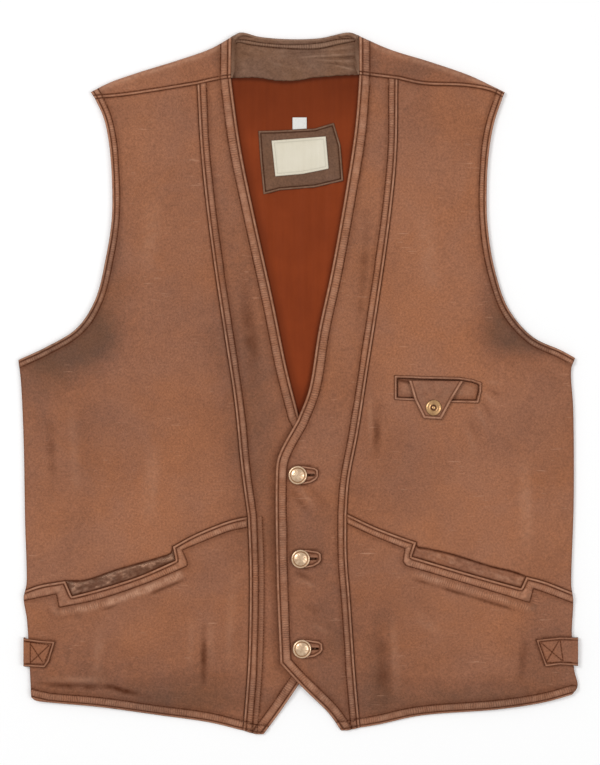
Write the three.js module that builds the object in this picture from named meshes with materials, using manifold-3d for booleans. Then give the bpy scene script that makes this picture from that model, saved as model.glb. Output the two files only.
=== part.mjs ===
// Leather vest, men's XXL, buttoned and laid flat on its back.
// Millimetres: +X to the viewer's right, +Y to the collar, +Z up from the surface that it lies on.
// Right and left are the wearer's, so the right front lies at -X and under the left front.
import * as THREE from "three";
import { mergeVertices } from "three/addons/utils/BufferGeometryUtils.js";
import Module from "manifold-3d";

const wasm = await Module();
wasm.setup();

// Thicknesses and clearances
const GAP = 0.3;
const BACK = 1.8;
const LINING = 1.0;
const FACING = 1.2;
const LABEL = 1.0;
const FRONT = 2.0;
const TRIM = 1.1;
const FLAP = 1.4;
const TAB = 1.6;

// Heights of the stack, from the surface up
const LINING_Z = BACK + GAP;
const ON_LINING_Z = LINING_Z + LINING + GAP;
const FRONT_Z = ON_LINING_Z;
const EDGE_Z = BACK + GAP;
const TIP_Z = GAP;

// Edge curves of the cut pieces, each row x, y in mm on the curve, from its first end to its last
const RIGHT = {
  shoulderFold: [[-70.5, 365.5], [-91.5, 353.5], [-125, 341.5], [-167, 328.5], [-198.5, 317.5],
    [-218.5, 307.5]],
  shoulderCenter: [[-71, 322], [-87, 319.5], [-106.5, 315]],
  shoulderSide: [[-106.5, 315], [-146, 308.5], [-188, 302.5], [-214, 300.5]],
  armhole: [[-214, 300.5], [-203.5, 280], [-198.5, 251.5], [-196, 209.5], [-196.5, 173], [-202.5, 134],
    [-213.5, 90], [-233, 59.5], [-264.5, 40], [-294.5, 26]],
  sideUpper: [[-294.5, 26], [-292, 5], [-289, -58], [-287.5, -142], [-286, -209.5], [-287.5, -216]],
  sideLower: [[-287.5, -216], [-289, -224], [-285.5, -247], [-283, -289], [-281, -328]],
  hemLower: [[-281, -328], [-266.5, -333], [-209, -338.5], [-146, -347.5], [-93.5, -355], [-58.5, -363.5]],
  hemCenter: [[-58.5, -363.5], [-46, -367], [-37, -367.5]],
  point: [[-37, -367.5], [-20, -344.5], [1, -313.5], [18, -288]],
  front: [[18, -288], [21, -173.5], [23, -94], [16, -64.5], [0, -32]],
  neck: [[0, -32], [-12, 15.5], [-27, 89], [-45.5, 173], [-60.5, 246.5], [-69.5, 309.5], [-71, 322]],
  princess: [[-106.5, 315], [-103, 251.5], [-97.5, 194], [-88, 120.5], [-77, 47], [-67.5, -16], [-60, -89.5],
    [-53.5, -138]],
  princessLower: [[-53.5, -138], [-51.5, -194.5], [-53, -289], [-58.5, -363.5]],
  pocketFront: [[-53.5, -138], [-72.5, -142.5], [-109, -157], [-132, -169.5]],
  pocketStep: [[-132, -169.5], [-129, -184]],
  mouth: [[-129, -184], [-167, -200.5], [-209, -214], [-237.5, -221.5]],
  pocketStepBack: [[-237.5, -221.5], [-244.5, -205.5]],
  pocketBack: [[-244.5, -205.5], [-272, -210.5], [-287.5, -216]],
  weltTop: [[-132, -169.5], [-146, -181], [-188, -193], [-224.5, -205], [-244.5, -205.5]],
  tab: [[-289, -265.5], [-270, -268], [-255, -269], [-261.5, -290], [-266, -296.5], [-289, -295.5]],
};
const LEFT = {
  shoulderFold: [[63.5, 366.5], [95.5, 352.5], [137.5, 339], [179.5, 324], [200.5, 313.5], [216.5, 305.5]],
  shoulderCenter: [[63.5, 325.5], [84, 323], [104, 320.5]],
  shoulderSide: [[104, 320.5], [130, 315], [174.5, 313], [200.5, 308.5], [214.5, 302.5]],
  armhole: [[214.5, 302.5], [205, 273.5], [199.5, 240], [197.5, 196], [199, 162.5], [207, 120.5],
    [221.5, 79], [245.5, 50.5], [276, 36], [290.5, 28]],
  sideUpper: [[290.5, 28], [286.5, 17], [288.5, -26.5], [289, -121], [286.5, -211.5], [287.5, -218]],
  sideLower: [[287.5, -218], [288.5, -226], [287, -262], [289.5, -299.5], [293, -316.5], [287.5, -325.5]],
  hemLower: [[287.5, -325.5], [258.5, -333.5], [211, -341], [127, -348], [85, -357], [64.5, -360.5]],
  hemCenter: [[64.5, -360.5], [51.5, -362.5], [44.5, -362.5]],
  point: [[44.5, -362.5], [32.5, -346.5], [1, -314.5], [-19.5, -292]],
  front: [[-19.5, -292], [-23, -205], [-24.5, -100], [-19, -68], [-1.5, -37]],
  neck: [[-1.5, -37], [10.5, -5.5], [21, 57.5], [34.5, 120.5], [49.5, 204.5], [59, 267.5], [62.5, 307.5],
    [63.5, 325.5]],
  princess: [[104, 320.5], [102.5, 241], [96.5, 178], [84, 89], [72.5, 15.5], [62.5, -49.5], [53, -100],
    [50.3, -135]],
  princessLower: [[50.3, -135], [50.5, -179], [54, -226], [59.5, -305], [64.5, -360.5]],
  pocketFront: [[50.3, -135], [80, -149], [111.5, -161], [123.5, -165]],
  pocketStep: [[123.5, -165], [118.5, -180]],
  mouth: [[118.5, -180], [169, -195], [200.5, -204], [233, -213]],
  pocketStepBack: [[233, -213], [238.5, -201]],
  pocketBack: [[238.5, -201], [258.5, -206.5], [287.5, -218]],
  weltTop: [[123.5, -165], [158.5, -176], [200.5, -190], [225, -196], [238.5, -201]],
  tab: [[293.5, -265.5], [274, -264.5], [248.5, -267], [258.5, -295.5], [274, -293.5], [293.5, -295.5]],
};
const BACK_NECK = [[-70.5, 365.5], [-61, 370], [-41, 365.5], [-9.5, 363], [22, 364], [54, 370],
  [63.5, 366.5]];
const BACK_HEM = [[-281, -328], [-140, -316], [0, -310], [140, -316], [287.5, -325.5]];
const FACING_LOW = [[-71, 322], [-43, 322], [-14.5, 318.5], [22, 323], [63.5, 325.5]];
const LINING_SIDE = [[160, 296], [168, 240], [167, 170], [180, 100], [206, 46], [256, 6], [256, -284]];
const PATCH = [[-42.5, 266.5], [-20, 267], [17, 269], [37, 275], [44, 251.5], [47, 214], [17, 207],
  [-20, 204], [-37, 199.5], [-40.5, 236]];
const WOVEN_LABEL = [[-28.5, 256], [28.5, 260.5], [31.5, 226.5], [4, 221], [-24.5, 218.5]];
const SIZE_TAG = [[-6.5, 267.8], [-6.5, 280.5], [8.5, 280.5], [8.5, 268.8]];
const CHEST_RIM = [[100, 10], [148, 8.5], [169, 8], [181.5, 6], [192, 2.5], [191.5, -7.5], [188.5, -19.5],
  [160.5, -19], [100, -16]];
const CHEST_FLAP = [[115, 4.5], [172.5, 4], [160.5, -16], [149.5, -36.5], [130.5, -35.5], [121, -16]];
const FLAP_ROOT = [[116, 4.5], [171, 4], [169, 1.5], [117, 2]];
const CHEST_SNAP = [141, -24];

// A buttonhole's binding and its slot, from the button's centre
const BUTTONHOLE = [[-3, -7], [5, -10], [13.5, -8.5], [19.5, -5], [22, -1.5], [21.5, 5.5], [18, 8], [5, 10],
  [-3, 7]];

// Centres of the three buttons, from the top down
const BUTTONS = [[-1, -94.5], [2, -182], [3.5, -276.5]];

// The largest soft folds of the fronts: a line from (x0, y0) to (x1, y1), its half width and its height
const FOLDS = [
  { x0: -52, y0: 110, x1: -40, y1: -90, half: 20, height: -1.3 },
  { x0: -96, y0: -238, x1: -104, y1: -335, half: 17, height: 1.4 },
  { x0: -122, y0: -232, x1: -130, y1: -330, half: 16, height: -1.0 },
  { x0: 88, y0: -225, x1: 96, y1: -350, half: 18, height: -1.4 },
  { x0: 84, y0: 0, x1: 92, y1: -70, half: 14, height: -1.0 },
  { x0: 274, y0: -10, x1: 276, y1: -90, half: 14, height: 1.2 },
  { x0: -250, y0: 12, x1: -236, y1: -120, half: 22, height: 1.2 },
  { x0: 206, y0: -230, x1: 212, y1: -320, half: 18, height: 1.2 },
];

// How the fronts round up from the outer edges and from the neck
const LOFT = 3.0;
const LOFT_FROM_EDGE = 80;
const LOFT_FROM_NECK = 60;
const EDGE_ROLL = 12;
const TIP_CLEAR = 14;
const TIP_FALL = 20;

// How the left front climbs over the right one
const LIFT = FRONT + GAP;
const LIFT_REACH = 17;
const LIFT_FADE = 24;

// A block between these heights reaches through the whole stack
const ALL_HEIGHTS = [-10, 60];

// Steps of the sheets' grids, and of the points along an edge
const FRONT_GRID = 12;
const SIDE_GRID = 18;
const EDGE_STEP = 11;

const COLORS = {
  leather: 0x8d5d45, taupe: 0x76574a, rust: 0x7b3820, cream: 0xebe4cd, white: 0xf0efec, brass: 0xb9935f,
};

// Curves and outlines

// Points about EDGE_STEP apart on a smooth curve through the rows
function curve(rows) {
  if (rows.length === 2) return rows;
  const points = rows.map(([x, y]) => new THREE.Vector3(x, y, 0));
  const line = new THREE.CatmullRomCurve3(points, false, "centripetal");
  const count = Math.max(rows.length - 1, Math.round(line.getLength() / EDGE_STEP));
  return line.getSpacedPoints(count).map((p) => [p.x, p.y]);
}

// Lines joined end to end, each end kept once
function join(...lines) {
  const points = [];
  for (const point of lines.flat()) {
    const last = points[points.length - 1];
    if (!last || Math.hypot(point[0] - last[0], point[1] - last[1]) > 0.2) points.push(point);
  }
  return points;
}

const reversed = (line) => [...line].reverse();

// A loop of points, anticlockwise, without a repeated end
function loop(...lines) {
  const points = join(...lines);
  const [first, last] = [points[0], points[points.length - 1]];
  if (Math.hypot(first[0] - last[0], first[1] - last[1]) < 0.2) points.pop();
  const area = THREE.ShapeUtils.area(points.map(([x, y]) => new THREE.Vector2(x, y)));
  return area > 0 ? points : points.reverse();
}

// An anticlockwise loop moved in by a distance
function inset(points, distance) {
  return points.map((point, i) => {
    const before = points[(i + points.length - 1) % points.length];
    const after = points[(i + 1) % points.length];
    const into = new THREE.Vector2(point[0] - before[0], point[1] - before[1]).normalize();
    const out = new THREE.Vector2(after[0] - point[0], after[1] - point[1]).normalize();
    const normal = new THREE.Vector2(-into.y - out.y, into.x + out.x).normalize();
    const reach = distance / Math.max(0.4, normal.x * -into.y + normal.y * into.x);
    return [point[0] + normal.x * reach, point[1] + normal.y * reach];
  });
}

// Distance from a point to a line of points
function distanceTo(line, x, y) {
  let best = Infinity;
  for (let i = 1; i < line.length; i++) {
    const [ax, ay] = line[i - 1];
    const [bx, by] = [line[i][0] - ax, line[i][1] - ay];
    const t = THREE.MathUtils.clamp(((x - ax) * bx + (y - ay) * by) / (bx * bx + by * by), 0, 1);
    best = Math.min(best, Math.hypot(x - ax - t * bx, y - ay - t * by));
  }
  return best;
}

function isInside(points, x, y) {
  let inside = false;
  points.forEach(([ax, ay], i) => {
    const [bx, by] = points[(i + 1) % points.length];
    if (ay > y !== by > y && x < ax + ((y - ay) / (by - ay)) * (bx - ax)) inside = !inside;
  });
  return inside;
}

const smooth = (t) => THREE.MathUtils.smoothstep(t, 0, 1);
const sampled = (table) =>
  Object.fromEntries(Object.entries(table).map(([name, rows]) => [name, curve(rows)]));

const right = sampled(RIGHT);
const left = sampled(LEFT);
const backNeck = curve(BACK_NECK);
const backHem = curve(BACK_HEM);
const facingLow = curve(FACING_LOW);

// Outlines of the cut pieces
const backOutline = loop(
  backNeck, left.shoulderFold, left.armhole, left.sideUpper, left.sideLower, reversed(backHem),
  reversed(right.sideLower), reversed(right.sideUpper), reversed(right.armhole), reversed(right.shoulderFold),
);

function outlines(side) {
  return {
    center: loop(
      side.neck, side.shoulderCenter, side.princess, side.princessLower, side.hemCenter, side.point,
      side.front),
    side: loop(
      side.princess, side.pocketFront, side.weltTop, side.pocketBack, reversed(side.sideUpper),
      reversed(side.armhole), reversed(side.shoulderSide)),
    lower: loop(
      side.princessLower, reversed(side.hemLower), reversed(side.sideLower), reversed(side.pocketBack),
      reversed(side.pocketStepBack), reversed(side.mouth), reversed(side.pocketStep),
      reversed(side.pocketFront)),
  };
}

const rightOutlines = outlines(right);
const leftOutlines = outlines(left);

// Heights of the fronts

const sides = [right, left];
const outerEdges = sides.map((side) => join(side.armhole, side.sideUpper, side.sideLower));
const shoulderEdges = sides.map((side) => side.shoulderFold);
const hemEdges = sides.map((side) => join(side.hemLower, side.hemCenter, side.point));
const neckEdges = sides.map((side) => side.neck);
const nearest = (lines, x, y) => Math.min(...lines.map((line) => distanceTo(line, x, y)));

// Height of a line of points at x, its ends carried on level
function lineAt(line, x) {
  const after = line.findIndex(([px]) => px > x);
  if (after <= 0) return line[after === 0 ? 0 : line.length - 1][1];
  const [[ax, ay], [bx, by]] = [line[after - 1], line[after]];
  return ay + ((by - ay) * (x - ax)) / (bx - ax);
}

// Where the fronts' underside lies over the back: on the lining, on the bare edge, or below the back's hem
function seatHeight(x, y) {
  const hem = distanceTo(backHem, x, y);
  if (y < lineAt(backHem, x)) return EDGE_Z - (EDGE_Z - TIP_Z) * smooth((hem - TIP_CLEAR) / TIP_FALL);
  return EDGE_Z + (FRONT_Z - EDGE_Z) * smooth(Math.min(hem, nearest(outerEdges, x, y)) / EDGE_ROLL);
}

function foldHeight(x, y) {
  let height = 0;
  for (const fold of FOLDS) {
    const [dx, dy] = [fold.x1 - fold.x0, fold.y1 - fold.y0];
    const length = Math.hypot(dx, dy);
    const along = ((x - fold.x0) * dx + (y - fold.y0) * dy) / (length * length);
    const across = Math.abs((x - fold.x0) * dy - (y - fold.y0) * dx) / length;
    if (along <= 0 || along >= 1 || across >= fold.half) continue;
    height += fold.height * Math.sin(Math.PI * along) * Math.cos((Math.PI / 2) * (across / fold.half)) ** 2;
  }
  return height;
}

// Height of the right front's underside, which the left front shares where it lies on its own
function underside(x, y) {
  const fromEdge = nearest([...outerEdges, ...shoulderEdges, ...hemEdges], x, y);
  const loft = LOFT * smooth(fromEdge / LOFT_FROM_EDGE) * smooth(nearest(neckEdges, x, y) / LOFT_FROM_NECK);
  return seatHeight(x, y) + loft + foldHeight(x, y) * smooth(fromEdge / EDGE_ROLL / 2);
}

function leftUnderside(x, y) {
  const outside = isInside(rightOutlines.center, x, y)
    ? 0
    : distanceTo([...rightOutlines.center, rightOutlines.center[0]], x, y);
  return underside(x, y) + LIFT * (1 - smooth((outside - LIFT_REACH) / LIFT_FADE));
}

const raised = (surface, height) => (x, y) => surface(x, y) + height;

// Solids

function solidOf(geometry) {
  for (const name of ["normal", "uv"]) geometry.deleteAttribute(name);
  const merged = mergeVertices(geometry, 1e-4);
  return new wasm.Manifold(
    new wasm.Mesh({
      numProp: 3,
      vertProperties: merged.attributes.position.array,
      triVerts: new Uint32Array(merged.index.array),
    }),
  );
}

// A straight block over an outline
function prism(outline, bottom, top) {
  const shape = new THREE.Shape(outline.map(([x, y]) => new THREE.Vector2(x, y)));
  const geometry = new THREE.ExtrudeGeometry(shape, { depth: top - bottom, steps: 1, bevelEnabled: false });
  return solidOf(geometry.translate(0, 0, bottom));
}

// A closed wall over rows of points: rows[i][j] is { top: [x, y, z], bottom: [x, y, z] }
function wall(rows) {
  const [across, along] = [rows[0].length, rows.length];
  const points = [];
  for (const row of rows) for (const point of row) points.push(...point.top, ...point.bottom);
  const at = (i, j, low) => 2 * (i * across + j) + low;
  const index = [];
  const quad = (a, b, c, d) => index.push(a, b, c, a, c, d);
  for (let i = 0; i + 1 < along; i++) {
    for (let j = 0; j + 1 < across; j++) {
      quad(at(i, j, 0), at(i, j + 1, 0), at(i + 1, j + 1, 0), at(i + 1, j, 0));
      quad(at(i + 1, j, 1), at(i + 1, j + 1, 1), at(i, j + 1, 1), at(i, j, 1));
    }
    quad(at(i, 0, 1), at(i, 0, 0), at(i + 1, 0, 0), at(i + 1, 0, 1));
    quad(at(i + 1, across - 1, 1), at(i + 1, across - 1, 0), at(i, across - 1, 0), at(i, across - 1, 1));
  }
  for (let j = 0; j + 1 < across; j++) {
    quad(at(0, j, 1), at(0, j + 1, 1), at(0, j + 1, 0), at(0, j, 0));
    quad(at(along - 1, j, 0), at(along - 1, j + 1, 0), at(along - 1, j + 1, 1), at(along - 1, j, 1));
  }
  const geometry = new THREE.BufferGeometry();
  geometry.setAttribute("position", new THREE.BufferAttribute(new Float32Array(points), 3));
  geometry.setIndex(index);
  const made = solidOf(geometry);
  if (made.volume() > 0) return made;
  for (let i = 0; i < index.length; i += 3) [index[i], index[i + 1]] = [index[i + 1], index[i]];
  geometry.setIndex(index);
  return solidOf(geometry);
}

// A curved sheet over an outline, between two heights, less the holes
function sheet(outline, grid, bottom, top, holes = []) {
  const xs = outline.map(([x]) => x);
  const ys = outline.map(([, y]) => y);
  const lines = (values) => {
    const first = Math.floor((Math.min(...values) - 1) / grid);
    const last = Math.ceil((Math.max(...values) + 1) / grid);
    return Array.from({ length: last - first + 1 }, (_, i) => (first + i) * grid);
  };
  const slab = wall(
    lines(ys).map((y) => lines(xs).map((x) => ({ top: [x, y, top(x, y)], bottom: [x, y, bottom(x, y)] }))));
  const cut = slab.intersect(prism(outline, ...ALL_HEIGHTS));
  return holes.reduce((solid, hole) => solid.subtract(prism(hole, ...ALL_HEIGHTS)), cut);
}

// A strip between two curves with as many points, at the given shares of its width
function strip(first, second, shares, bottom, top) {
  return wall(
    first.map(([ax, ay], i) =>
      shares.map((share) => {
        const [x, y] = [ax + (second[i][0] - ax) * share, ay + (second[i][1] - ay) * share];
        const width = Math.hypot(second[i][0] - ax, second[i][1] - ay);
        return { top: [x, y, top(x, y, share, width)], bottom: [x, y, bottom(x, y, share, width)] };
      })));
}

// A line of points, spaced evenly to a count
function respaced(line, count) {
  const path = new THREE.CurvePath();
  for (let i = 1; i < line.length; i++)
    path.add(new THREE.LineCurve3(new THREE.Vector3(...line[i - 1], 0), new THREE.Vector3(...line[i], 0)));
  return path.getSpacedPoints(count).map((p) => [p.x, p.y]);
}

// A turned solid round +Z, its profile of [radius, height] rows going up from the axis and back to it
function turned(profile, sides, x, y, z) {
  const points = profile.map(([radius, height]) => new THREE.Vector2(radius, height));
  const geometry = new THREE.LatheGeometry(points, sides).rotateX(Math.PI / 2).translate(x, y, z);
  return solidOf(geometry);
}

const pieces = new THREE.Group();

function addPiece(name, solid, color, roughness = 0.55, metalness = 0) {
  const { vertProperties, triVerts } = solid.getMesh();
  const geometry = new THREE.BufferGeometry();
  geometry.setAttribute("position", new THREE.BufferAttribute(new Float32Array(vertProperties), 3));
  geometry.setIndex(new THREE.BufferAttribute(new Uint32Array(triVerts), 1));
  geometry.computeVertexNormals();
  const mesh = new THREE.Mesh(geometry, new THREE.MeshStandardMaterial({ color, roughness, metalness }));
  mesh.name = name;
  pieces.add(mesh);
}

const SEAM = GAP / 2;
const backPrism = (outline, bottom, thickness) => prism(inset(outline, SEAM), bottom, bottom + thickness);

// Back with its shoulders, which fold over to the forward shoulder seams
const FOLD_ROUND = 4.5;
const FOLD_SHARES = [-0.01, 0.015, 0.045, 0.1, 0.17, 0.4, 0.7, 1.01];
const SHOULDER_STEPS = 11;

function shoulder(side) {
  const fold = respaced(side.shoulderFold, SHOULDER_STEPS);
  const seam = respaced(join(side.shoulderCenter, side.shoulderSide), SHOULDER_STEPS);
  const outline = loop(side.shoulderFold, reversed(join(side.shoulderCenter, side.shoulderSide)));
  const rise = (distance) => Math.sqrt(1 - (1 - THREE.MathUtils.clamp(distance / FOLD_ROUND, 0, 1)) ** 2);
  const low = BACK / 2;
  const top = (x, y, share, width) => BACK + (underside(x, y) + FRONT - BACK) * rise(share * width);
  const bottom = (x, y, share, width) =>
    low + (underside(x, y) + FRONT - BACK - low) * rise(share * width - BACK);
  return strip(fold, seam, FOLD_SHARES, bottom, top).intersect(prism(inset(outline, SEAM), ...ALL_HEIGHTS));
}

const back = backPrism(backOutline, 0, BACK).add(shoulder(right)).add(shoulder(left));
addPiece("back_panel", back, COLORS.leather);

// Lining of the back, its neck facing, and what is sewn on it
const facingOutline = loop(backNeck, reversed(facingLow));
const liningOutline = loop(facingLow, LINING_SIDE, reversed(LINING_SIDE).map(([x, y]) => [-x, y]));
addPiece("back_lining", backPrism(liningOutline, LINING_Z, LINING), COLORS.rust, 0.6);
addPiece("back_neck_facing", backPrism(facingOutline, LINING_Z, FACING), COLORS.taupe);

const patchOutline = loop(PATCH);
const tagOutline = loop(SIZE_TAG);
addPiece("label_patch", backPrism(patchOutline, ON_LINING_Z, TRIM), COLORS.taupe);
addPiece("woven_label", backPrism(loop(WOVEN_LABEL), ON_LINING_Z + TRIM + GAP, LABEL), COLORS.cream, 0.8);
addPiece("size_tag", backPrism(tagOutline, ON_LINING_Z, LABEL), COLORS.white, 0.8);

// Fronts
function addFront(name, outline, grid, bottom, holes) {
  addPiece(name, sheet(inset(outline, SEAM), grid, bottom, raised(bottom, FRONT), holes), COLORS.leather);
}

// A slot for each shank in the left front and in its binding
const SLOT_HALF = 1.8;
const SLOT_FROM = -4;
const SLOT_TO = 18;
const slotAt = ([x, y], grow = 0) => loop([
  [x + SLOT_FROM - grow, y - SLOT_HALF - grow], [x + SLOT_TO + grow, y - SLOT_HALF - grow],
  [x + SLOT_TO + grow, y + SLOT_HALF + grow], [x + SLOT_FROM - grow, y + SLOT_HALF + grow]]);

const CHEST_RIM_WIDTH = 3.2;
const chestRim = loop(CHEST_RIM);
const chestWindow = inset(chestRim, CHEST_RIM_WIDTH);

addFront("right_front_center", rightOutlines.center, FRONT_GRID, underside);
const slots = BUTTONS.map((at) => slotAt(at));
addFront("left_front_center", leftOutlines.center, FRONT_GRID, leftUnderside, slots);
addFront("right_front_side", rightOutlines.side, SIDE_GRID, underside);
addFront("left_front_side", leftOutlines.side, SIDE_GRID, leftUnderside, [chestWindow]);
addFront("right_front_lower", rightOutlines.lower, SIDE_GRID, underside);
addFront("left_front_lower", leftOutlines.lower, SIDE_GRID, leftUnderside);

// Padded welts in the stepped pocket mouths
const WELT_PAD = 1.8;
const WELT_STEPS = 10;
const WELT_EDGE = 0.4;
const WELT_SHARES = [0, 0.15, 0.38, 0.62, 0.85, 1];

function welt(side, surface) {
  const outline = inset(loop(side.weltTop, reversed(side.pocketStepBack), reversed(side.mouth),
    reversed(side.pocketStep)), SEAM);
  const upper = respaced(side.weltTop, WELT_STEPS);
  const lower = respaced(join(side.pocketStep, side.mouth, side.pocketStepBack), WELT_STEPS);
  const pad = (x, y, share) => surface(x, y) + FRONT + WELT_PAD * Math.sin(Math.PI * share) - WELT_EDGE;
  return strip(upper, lower, WELT_SHARES, surface, pad).intersect(prism(outline, ...ALL_HEIGHTS));
}

addPiece("right_pocket_welt", welt(right, underside), COLORS.leather);
addPiece("left_pocket_welt", welt(left, leftUnderside), COLORS.leather);

// Side tabs, which fold round the side seams and end at the surface that the vest lies on
function tab(rows, sideEdge, surface, sign) {
  const outline = loop(rows);
  const [top, low] = [rows[0], rows[rows.length - 1]];
  const beside = sideEdge.filter(([, y]) => y < top[1] + EDGE_STEP && y > low[1] - EDGE_STEP);
  const reach = sign * (Math.max(...beside.map(([x]) => sign * x)) + GAP);
  const height = surface(...top) + FRONT + GAP + TAB / 2;
  const over = sheet(outline, SIDE_GRID, raised(surface, FRONT + GAP), raised(surface, FRONT + GAP + TAB));
  return over.add(prism(loop([top, low, [reach, low[1]], [reach, top[1]]]), 0, height));
}

addPiece("right_side_tab", tab(RIGHT.tab, right.sideLower, underside, -1), COLORS.leather);
addPiece("left_side_tab", tab(LEFT.tab, left.sideLower, leftUnderside, 1), COLORS.leather);

// Chest pocket: a piped rim round the window, the leather inside it, and a flap with a ring snap
const chestSurface = raised(leftUnderside, FRONT);
const RIM_TOP = GAP + TRIM;
const FLAP_Z = RIM_TOP + GAP;
const WINDOW_DROP = 0.9;
addPiece(
  "chest_pocket_welt",
  sheet(inset(chestWindow, GAP), SIDE_GRID, raised(leftUnderside, 0.1), raised(chestSurface, -WINDOW_DROP)),
  COLORS.leather);
addPiece(
  "chest_pocket_frame",
  sheet(chestRim, SIDE_GRID, raised(chestSurface, GAP), raised(chestSurface, RIM_TOP), [chestWindow]),
  COLORS.leather);
const flapSheet = (rows, bottom, top) =>
  sheet(loop(rows), SIDE_GRID, raised(chestSurface, bottom), raised(chestSurface, top));
const flap = flapSheet(CHEST_FLAP, FLAP_Z, FLAP_Z + FLAP);
const flapRoot = flapSheet(FLAP_ROOT, GAP - WINDOW_DROP, FLAP_Z + FLAP / 2);
addPiece("chest_pocket_flap", flap.add(flapRoot), COLORS.leather);

const HARDWARE_GAP = 0.4;
const HARDWARE_SIDES = 22;
const SNAP_PROFILE = [[0, 0], [8.4, 0], [8.4, 0.5], [7.6, 1.3], [5.6, 1.7], [3.8, 1.5], [2.9, 0.8],
  [1.8, 0.8], [1.6, 1.3], [0, 1.5]];
const snapZ = chestSurface(...CHEST_SNAP) + FLAP_Z + FLAP + HARDWARE_GAP;
const snap = turned(SNAP_PROFILE, HARDWARE_SIDES, ...CHEST_SNAP, snapZ);
addPiece("chest_pocket_snap", snap, COLORS.brass, 0.35, 0.9);

// Bound buttonholes and shank buttons
const HEAD_PROFILE = [[9.0, 0], [9.7, 0.9], [9.5, 1.8], [8.4, 2.4], [7.2, 2.2], [5.5, 2.9], [3.0, 3.4],
  [0, 3.6]];
const SHANK = 1.4;
const BINDING_SETBACK = 0.2;
BUTTONS.forEach(([x, y], i) => {
  const outline = loop(BUTTONHOLE.map(([dx, dy]) => [x + dx, y + dy]));
  const [low, high] = [raised(leftUnderside, FRONT + GAP), raised(leftUnderside, FRONT + GAP + TRIM)];
  const binding = sheet(outline, FRONT_GRID, low, high, [slotAt([x, y], BINDING_SETBACK)]);
  addPiece("buttonhole_" + (i + 1), binding, COLORS.leather);

  const headZ = high(x, y) + HARDWARE_GAP;
  const shankLow = underside(x, y) + FRONT + HARDWARE_GAP - headZ;
  const profile = [[0, shankLow], [SHANK, shankLow], [SHANK, 0], ...HEAD_PROFILE];
  addPiece("button_" + (i + 1), turned(profile, HARDWARE_SIDES, x, y, headZ), COLORS.brass, 0.35, 0.9);
});

// The origin is the centre of the whole vest's box, on the surface that it lies on
const middle = new THREE.Box3().setFromObject(pieces).getCenter(new THREE.Vector3());
pieces.position.set(-middle.x, -middle.y, 0);
const vest = new THREE.Group();
vest.add(pieces);

export default vest;
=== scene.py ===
import math

import bpy
import numpy as np
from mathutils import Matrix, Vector
from mathutils.geometry import delaunay_2d_cdt


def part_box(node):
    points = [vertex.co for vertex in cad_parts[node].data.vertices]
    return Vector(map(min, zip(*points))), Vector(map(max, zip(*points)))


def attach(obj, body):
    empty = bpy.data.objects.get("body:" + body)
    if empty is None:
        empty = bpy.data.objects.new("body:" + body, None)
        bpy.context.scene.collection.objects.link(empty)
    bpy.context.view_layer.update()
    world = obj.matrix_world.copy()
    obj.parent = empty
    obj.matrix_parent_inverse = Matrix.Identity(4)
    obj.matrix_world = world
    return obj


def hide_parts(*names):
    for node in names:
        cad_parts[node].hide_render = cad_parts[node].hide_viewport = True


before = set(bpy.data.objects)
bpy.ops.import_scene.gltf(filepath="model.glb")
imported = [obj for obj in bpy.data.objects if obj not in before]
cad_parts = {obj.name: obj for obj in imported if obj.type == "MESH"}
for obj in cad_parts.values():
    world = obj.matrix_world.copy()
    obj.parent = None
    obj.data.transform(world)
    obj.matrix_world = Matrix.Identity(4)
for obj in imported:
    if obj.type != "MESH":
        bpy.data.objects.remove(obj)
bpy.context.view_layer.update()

# Leather vest, men's XXL, buttoned and laid flat on its back.
# Tables are in millimetres: +X to the viewer's right, +Y to the collar, +Z up from the surface below.
# Right and left are the wearer's, so the right front lies at -X and under the left front.
MM = 0.001

# The frame is moved a little from the tables, by the middle of the whole vest. Two edges tell how far:
# where the left side tab ends and where the chest pocket's frame begins in the tables
TAB_END = 293.5
RIM_TOP_EDGE = 10.0
SHIFT = np.array([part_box("left_side_tab")[1].x / MM - TAB_END,
                  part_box("chest_pocket_frame")[1].y / MM - RIM_TOP_EDGE])

# Thicknesses and clearances
GAP = 0.3
BACK = 1.8
LINING = 1.0
FACING = 1.2
LABEL = 1.0
FRONT = 2.0
TRIM = 1.1
FLAP = 1.4
TAB = 1.6
SEAM = 0.04

# Heights of the stack, from the surface up
LINING_Z = BACK + GAP
ON_LINING_Z = LINING_Z + LINING + GAP
EDGE_Z = BACK + GAP

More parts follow.
